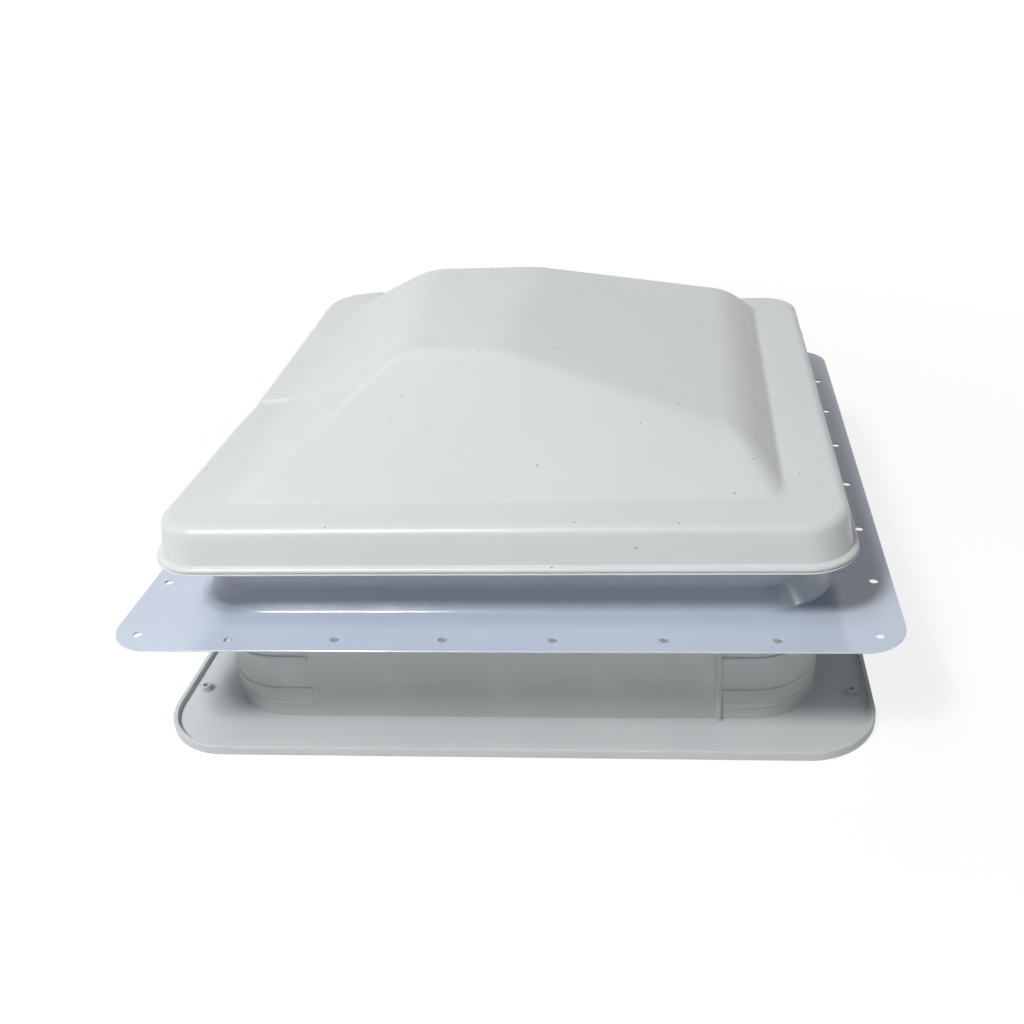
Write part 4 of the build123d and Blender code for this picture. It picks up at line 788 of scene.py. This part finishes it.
def metal(name, pale, dark, smooth, rough, grain_scale, brushed=(1, 1, 1)):
    """A bare or plated metal: cloudy colour, uneven roughness and fine drawn lines or spangle."""
    material, nodes, place = blank(name)
    drawn = nodes.node("Mapping", {"Vector": place, "Scale": brushed})
    spangle = nodes.noise(drawn, grain_scale, 3, 0.55)
    cloud = nodes.noise(place, 45, 3, 0.6)
    tint = nodes.mix(nodes.ramp(cloud, (0.3, 0), (0.75, 1)), pale, dark)
    tint = nodes.mix(nodes.ramp(spangle, (0.45, 0), (0.7, 0.35)), tint, dark)
    sheen = nodes.ramp(cloud, (0.3, smooth), (0.75, rough)) + nodes.ramp(spangle, (0.4, 0), (0.8, 0.08))
    finished(nodes, tint, sheen, spangle, 0.16, 0.0003, {"Metallic": 1.0})
    return material


zinc_plate = metal("zinc_plate", (0.66, 0.67, 0.69), (0.52, 0.54, 0.58), 0.26, 0.42, 420)
bright_steel = metal("bright_steel", (0.68, 0.68, 0.68), (0.55, 0.55, 0.56), 0.14, 0.26, 160, (1, 14, 14))
stainless = metal("stainless", (0.62, 0.61, 0.59), (0.50, 0.49, 0.48), 0.18, 0.30, 520)
rivet_aluminium = metal("rivet_aluminium", (0.80, 0.81, 0.82), (0.66, 0.67, 0.69), 0.28, 0.44, 600)
dress(zinc_plate, "base_leaf_left", "base_leaf_right", "lid_leaf_left", "lid_leaf_right")
dress(bright_steel, "hinge_pin_left", "hinge_pin_right")


def fixings(name, profile, places, turn, recess, material, body, old):
    """Screws or rivets at the places: a turned blank with a cross or a round hole sunk in its head."""
    fixing = Shell()
    fixing.capped([fixing.ring(0, 0, radius, height, 24) for radius, height in profile])
    fixing_blank = fixing.object(name + "_blank", material)
    kind, length, width, depth = recess

    def plan(nodes, start, size):
        solid = nodes.node("ObjectInfo", {"Object": fixing_blank}, out="Geometry")
        up = nodes.node("CombineXYZ", {"Z": size["Head top"]})
        deep = size["Recess depth"] * 2
        tools = []
        if kind == "cross":
            bar = nodes.node("CombineXYZ", {0: size["Recess length"], 1: size["Recess width"], 2: deep})
            bar = nodes.node("MeshCube", {"Size": bar}, out="Mesh")
            for quarter in (0, pi / 2):
                laid = {"Geometry": bar, "Translation": up, "Rotation": (0, 0, quarter)}
                tools.append(nodes.node("Transform", laid))
        else:
            bore = {"Vertices": 16, "Radius": size["Recess length"] * 0.5, "Depth": deep}
            bore = nodes.node("MeshCylinder", bore, out="Mesh")
            tools.append(nodes.node("Transform", {"Geometry": bore, "Translation": up}))
        cut = nodes.cut(solid, tools)
        chance = nodes.node("RandomValue", {2: 0.0, 3: 2 * pi, "Seed": 7}, out=1, data_type="FLOAT")
        stood = nodes.node("InstanceOnPoints", {"Points": start, "Instance": cut, "Rotation": turn})
        twist = nodes.node("CombineXYZ", {"Z": chance})
        stood = nodes.node("RotateInstances", {"Instances": stood, "Rotation": twist})
        real = nodes.node("RealizeInstances", {"Geometry": stood})
        return nodes.node("SetMaterial", {"Geometry": real, "Material": material})

    sizes = {"Head top": profile[-1][1] * mm, "Recess length": length * mm}
    sizes |= {"Recess width": width * mm, "Recess depth": depth * mm}
    piece = grown(name, spots(name, places), sizes, plan)
    bpy.data.objects.remove(fixing_blank)
    crisp(piece)
    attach(piece, body)
    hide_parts(old)


def pan_head(radius, height, shank, length):
    """Profile of a screw with a domed head: its point, shank, seat and head."""
    point = [(0.25 * shank, -length), (0.8 * shank, 1.2 - length), (shank, 1.9 - length), (shank, 0)]
    head = [(radius, 0), (radius, 0.3 * height), (0.93 * radius, 0.6 * height)]
    return point + head + [(0.75 * radius, 0.86 * height), (0.45 * radius, height)]


def rivet(grip):
    """Profile of a set blind rivet: its tail, shank and domed head."""
    tail = [(1.5, -grip - 0.8), (2.05, -grip - 0.7), (2.2, -grip - 0.5), (2.2, -grip), (1.6, -grip), (1.6, 0)]
    return tail + [(3.0, 0), (3.0, 0.3), (2.75, 0.7), (2.2, 1.02), (1.4, 1.2)]


facing_back, facing_front = (-pi / 2, 0, 0), (pi / 2, 0, 0)
rivet_hole = ("round", 1.7, 0, 0.7)
fixings(
    "base_leaf_rivet_set", rivet(2.2), leaf_rivets, facing_back,
    rivet_hole, rivet_aluminium, "base", "base_leaf_rivets",
)
fixings(
    "lid_leaf_screw_set", pan_head(2.6, 0.9, 1.3, 4.2), leaf_screws, facing_front,
    ("cross", 2.5, 0.55, 0.6), stainless, "lid", "lid_leaf_screws",
)


# Lift: a worm in a dark nylon gearbox on the collar's right wall turns a wheel, its shaft and a steel arm.
# A roller on the arm's tip runs in a folded rail under the lid. The box is riveted on and its cover is
# screwed; the shafts are bright steel in natural acetal bushes, and the rail hangs from the lid's posts.
housing_rivets = [(169.0, y, z) for y in (25.6, 83.3) for z in (102.0, 114.0)]
cover_screws = [(137.6, y, z) for y in (53.0, 72.0) for z in (82.7, 123.29)]
track_screws = [(post_x, y, 136.7) for y in post_places]
arm_screw = [(130.7, 60.0, 103.0)]


def moulded(name, pale, dark, smooth, rough, grain=1300):
    """A moulded plastic: nearly even colour, a fine grained face and slightly shinier patches."""
    material, nodes, place = blank(name)
    cloud = nodes.noise(place, 18, 3, 0.55)
    pores = nodes.noise(place, grain, 2)
    tint = nodes.mix(nodes.ramp(cloud, (0.3, 0), (0.75, 1)), pale, dark)
    sheen = nodes.ramp(cloud, (0.3, smooth), (0.75, rough)) + pores * 0.06
    finished(nodes, tint, sheen, pores + cloud * 1.2, 0.14, 0.0005)
    return material


gear_nylon = moulded("gear_nylon", (0.027, 0.027, 0.029), (0.021, 0.021, 0.023), 0.36, 0.50)
bush_acetal = moulded("bush_acetal", (0.60, 0.56, 0.42), (0.55, 0.50, 0.37), 0.30, 0.40, 900)
wheel_acetal = moulded("wheel_acetal", (0.71, 0.67, 0.54), (0.64, 0.59, 0.45), 0.28, 0.40, 900)
roller_nylon = moulded("roller_nylon", (0.017, 0.017, 0.017), (0.026, 0.026, 0.025), 0.30, 0.44, 900)
dress(gear_nylon, "gearbox_housing", "gearbox_cover")
dress(bush_acetal, "cover_bush", "housing_bush", "lower_worm_bush", "upper_worm_bush")
dress(wheel_acetal, "worm_wheel")
dress(roller_nylon, "roller")
dress(bright_steel, "worm_shaft", "arm_shaft", "wheel_pin", "roller_pin")
dress(zinc_plate, "lift_arm", "track_rail")
dress(stainless, "arm_washer")

facing_left, facing_down = (0, -pi / 2, 0), (pi, 0, 0)
fixings(
    "housing_rivet_set", rivet(3.5), housing_rivets, facing_left,
    rivet_hole, rivet_aluminium, "base", "housing_rivets",
)
fixings(
    "cover_screw_set", pan_head(2.5, 1.4, 1.3, 9.0), cover_screws, facing_left,
    ("cross", 2.6, 0.6, 0.9), stainless, "base", "cover_screws",
)
fixings(
    "track_screw_set", pan_head(3.4, 1.8, 1.6, 11.0), track_screws, facing_down,
    ("cross", 3.4, 0.75, 1.2), stainless, "lid", "track_screws",
)
fixings(
    "arm_screw_turned", pan_head(3.8, 2.2, 2.0, 8.0), arm_screw, facing_left,
    ("cross", 4.0, 0.9, 1.4), stainless, "arm", "arm_screw",
)


# Crank knob: one moulding of dark grey plastic with eight finger hollows round its rim. It is pushed on the
# worm shaft's square end from below and held by one screw, whose head lies in a recess in its face.
knob_x, knob_y, knob_bottom, screw_seat, knob_top, neck_top = 150.0, 42.0, 12.0, 16.0, 32.0, 38.0
knob_radius, knob_rounding, neck_radius, socket_half, socket_end = 21.0, 1.5, 8.0, 2.85, 24.0
hollow_radius, hollow_centre, hollow_ease, half_gap, clear_of_rim = 6.0, 24.4, 1.6, pi / 8, 30.0
knob_turns = np.linspace(0, 2 * pi, 193)[:-1]
off_hollow = (knob_turns + half_gap) % (2 * half_gap) - half_gap
in_hollow = hollow_radius**2 - (hollow_centre * np.sin(off_hollow)) ** 2
hollow = hollow_centre * np.cos(off_hollow) - np.sqrt(np.clip(in_hollow, 0, None))
hollow = np.where(in_hollow > 0, hollow, clear_of_rim)
knob_outline = soft_min(np.full_like(hollow, knob_radius), hollow, hollow_ease)
socket = socket_half / np.maximum(np.abs(np.cos(knob_turns)), np.abs(np.sin(knob_turns)))

# The section: the screw's hole and recess, the rim, the neck and the square socket.
rings = [(1.6, socket_end), (1.6, screw_seat), (4.6, screw_seat), (4.9, screw_seat + 0.1)]
rings += [(5.0, knob_bottom + 0.4), (5.2, knob_bottom + 0.05), (7.0, knob_bottom)]
rings += [(knob_outline - 4, knob_bottom)]
for angle in np.linspace(0, pi / 2, 7):
    inset, rise = knob_rounding * (1 - sin(angle)), knob_rounding * (1 - cos(angle))
    rings.append((knob_outline - inset, knob_bottom + rise))
rings += [(knob_outline, height) for height in (17.0, 22.0, 27.0)]
for angle in np.linspace(0, pi / 2, 7):
    inset, drop = knob_rounding * (1 - cos(angle)), knob_rounding * (1 - sin(angle))
    rings.append((knob_outline - inset, knob_top - drop))
rings += [(knob_outline - 4, knob_top), (9.2, knob_top), (8.3, knob_top + 0.3), (neck_radius, knob_top + 1.2)]
rings += [(neck_radius, neck_top - 0.6), (7.85, neck_top - 0.15), (7.4, neck_top), (socket + 0.3, neck_top)]
rings += [(socket, neck_top - 0.3), (socket, socket_end)]
knob = Shell()
loops = []
for radius, height in rings:
    round_x, round_y = knob_x + radius * np.cos(knob_turns), knob_y + radius * np.sin(knob_turns)
    loops.append(knob.add(np.stack([round_x, round_y, np.full_like(round_x, height)], 1)))
knob.closed(loops)
knob_plastic = moulded("knob_plastic", (0.030, 0.033, 0.036), (0.038, 0.041, 0.044), 0.34, 0.50, 1100)
knob_piece = knob.object("crank_knob_moulding", knob_plastic, 40)
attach(knob_piece, "crank")
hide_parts("crank_knob")
fixings(
    "knob_screw_turned", pan_head(3.0, 2.0, 1.5, 9.0), [(knob_x, knob_y, screw_seat)], facing_down,
    ("cross", 3.2, 0.75, 1.3), stainless, "crank", "knob_screw",
)


# Insect screen: a flat frame moulded in the trim's plastic, with a coated net welded into its rebate and a
# port for the crank. It lies under the sleeve's ledge, and four sunk pan-head screws hold it there.
screen_reach, screen_corner, screen_low, screen_high = 174.45, 35.45, 40.8, 44.8
opening_reach, opening_corner, net_low, rebate_out = 158.0, 22.0, 43.8, 4.05
sunk_depth, sunk_radius = 2.0, 3.55
screen_plastic = moulded("screen_plastic", (0.600, 0.635, 0.635), (0.555, 0.590, 0.585), 0.46, 0.60, 1400)
edge_rows = ((0.35, screen_low), (0, screen_low + 0.35), (0, screen_high - 0.35), (0.35, screen_high))
rebate_rows = ((rebate_out + 0.2, screen_high), (rebate_out, screen_high - 0.2), (rebate_out, net_low))
opening_rows = ((0.2, net_low), (0, net_low - 0.2), (0, screen_low + 0.3), (0.3, screen_low))
section = [(screen_reach - inset, screen_corner - inset, height) for inset, height in edge_rows]
for out, height in rebate_rows + opening_rows:
    section.append((opening_reach + out, opening_corner + out, height))
screen = Shell()
screen.sweep(48, section)
screen_piece = screen.object("screen_frame_moulding", screen_plastic)
sunk = [(x, y, screen_low) for x, y in screen_screw_places]
screen_piece = pierced(screen_piece, sunk, sunk_radius, 2 * sunk_depth, screen_plastic)
port = Shell()
port_rings = [(6.3, screen_low), (14.7, screen_low), (15.0, screen_low + 0.3), (15.0, 43.5), (14.7, 43.78)]
port_rings += [(6.9, 43.78), (6.8, 44.5), (6.6, screen_high), (6.2, screen_high), (6.0, screen_high - 0.2)]
port_rings += [(6.0, screen_low + 0.3)]
port.closed([port.ring(knob_x, knob_y, radius, height, 64) for radius, height in port_rings])
port_piece = port.object("screen_port", screen_plastic)
for piece in (screen_piece, port_piece):
    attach(piece, "base")
    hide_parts("screen_frame")

net_coat, nodes, place = blank("net_coat")
dust = nodes.noise(place, 90, 3, 0.6)
tint = nodes.mix(nodes.ramp(dust, (0.45, 0), (0.8, 1)), (0.022, 0.022, 0.024), (0.060, 0.058, 0.052))
rough = nodes.ramp(dust, (0.4, 0.42), (0.8, 0.62))
finished(nodes, tint, rough, nodes.noise(place, 2600, 2), 0.2, 0.0001)
lower_strands, upper_strands = 0.04396, 0.04424


def net_plan(nodes, start, size):
    """Two layers of square strands, crossing and cut to the rebate's rounded square, in metres."""
    half, corner, strand = size["Net reach"], size["Corner radius"], size["Strand"]
    first = nodes.node("CombineXYZ", {"X": size["Pitch"] * 0.5 - half})
    step = nodes.node("CombineXYZ", {"X": size["Pitch"]})
    row = {"Count": size["Strand count"], "Start Location": first, "Offset": step}
    row = nodes.node("MeshLine", row, out="Mesh")
    spot = nodes.node("InputPosition")
    side = nodes.node("SeparateXYZ", {0: spot}, out="X")
    side = nodes.node("Math", {0: side}, operation="ABSOLUTE")
    beyond = nodes.node("Math", {0: side - (half - corner), 1: 0.0}, operation="MAXIMUM")
    arc = nodes.node("Math", {0: corner * corner - beyond * beyond}, operation="SQRT")
    length = (half - corner + arc) * 2
    bar = nodes.node("CombineXYZ", {"X": strand, "Y": 1.0, "Z": strand})
    bar = nodes.node("MeshCube", {"Size": bar}, out="Mesh")
    scale = nodes.node("CombineXYZ", {"X": 1.0, "Y": length, "Z": 1.0})
    laid = nodes.node("InstanceOnPoints", {"Points": row, "Instance": bar, "Scale": scale})
    layers = []
    for level, turn in ((lower_strands, 0), (upper_strands, pi / 2)):
        moved = {"Geometry": laid, "Translation": (0, 0, level), "Rotation": (0, 0, turn)}
        layers.append(nodes.node("Transform", moved))
    both = nodes.node("JoinGeometry", {"Geometry": layers})
    real = nodes.node("RealizeInstances", {"Geometry": both})
    return nodes.node("SetMaterial", {"Geometry": real, "Material": net_coat})


net_sizes = {
    "Net reach": 0.1618, "Corner radius": 0.0258, "Strand": 0.00028, "Pitch": 0.0018, "Strand count": 179.0
}
net_piece = grown("woven_net", spots("net_start", [(0, 0, 44)]), net_sizes, net_plan)
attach(net_piece, "base")
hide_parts("screen_net")
screen_screws = [(x, y, screen_low + sunk_depth) for x, y in screen_screw_places]
fixings(
    "screen_screw_set", pan_head(3.5, 2.0, 1.3, 8.0), screen_screws, facing_down,
    ("cross", 3.3, 0.75, 1.3), stainless, "base", "screen_screws",
)
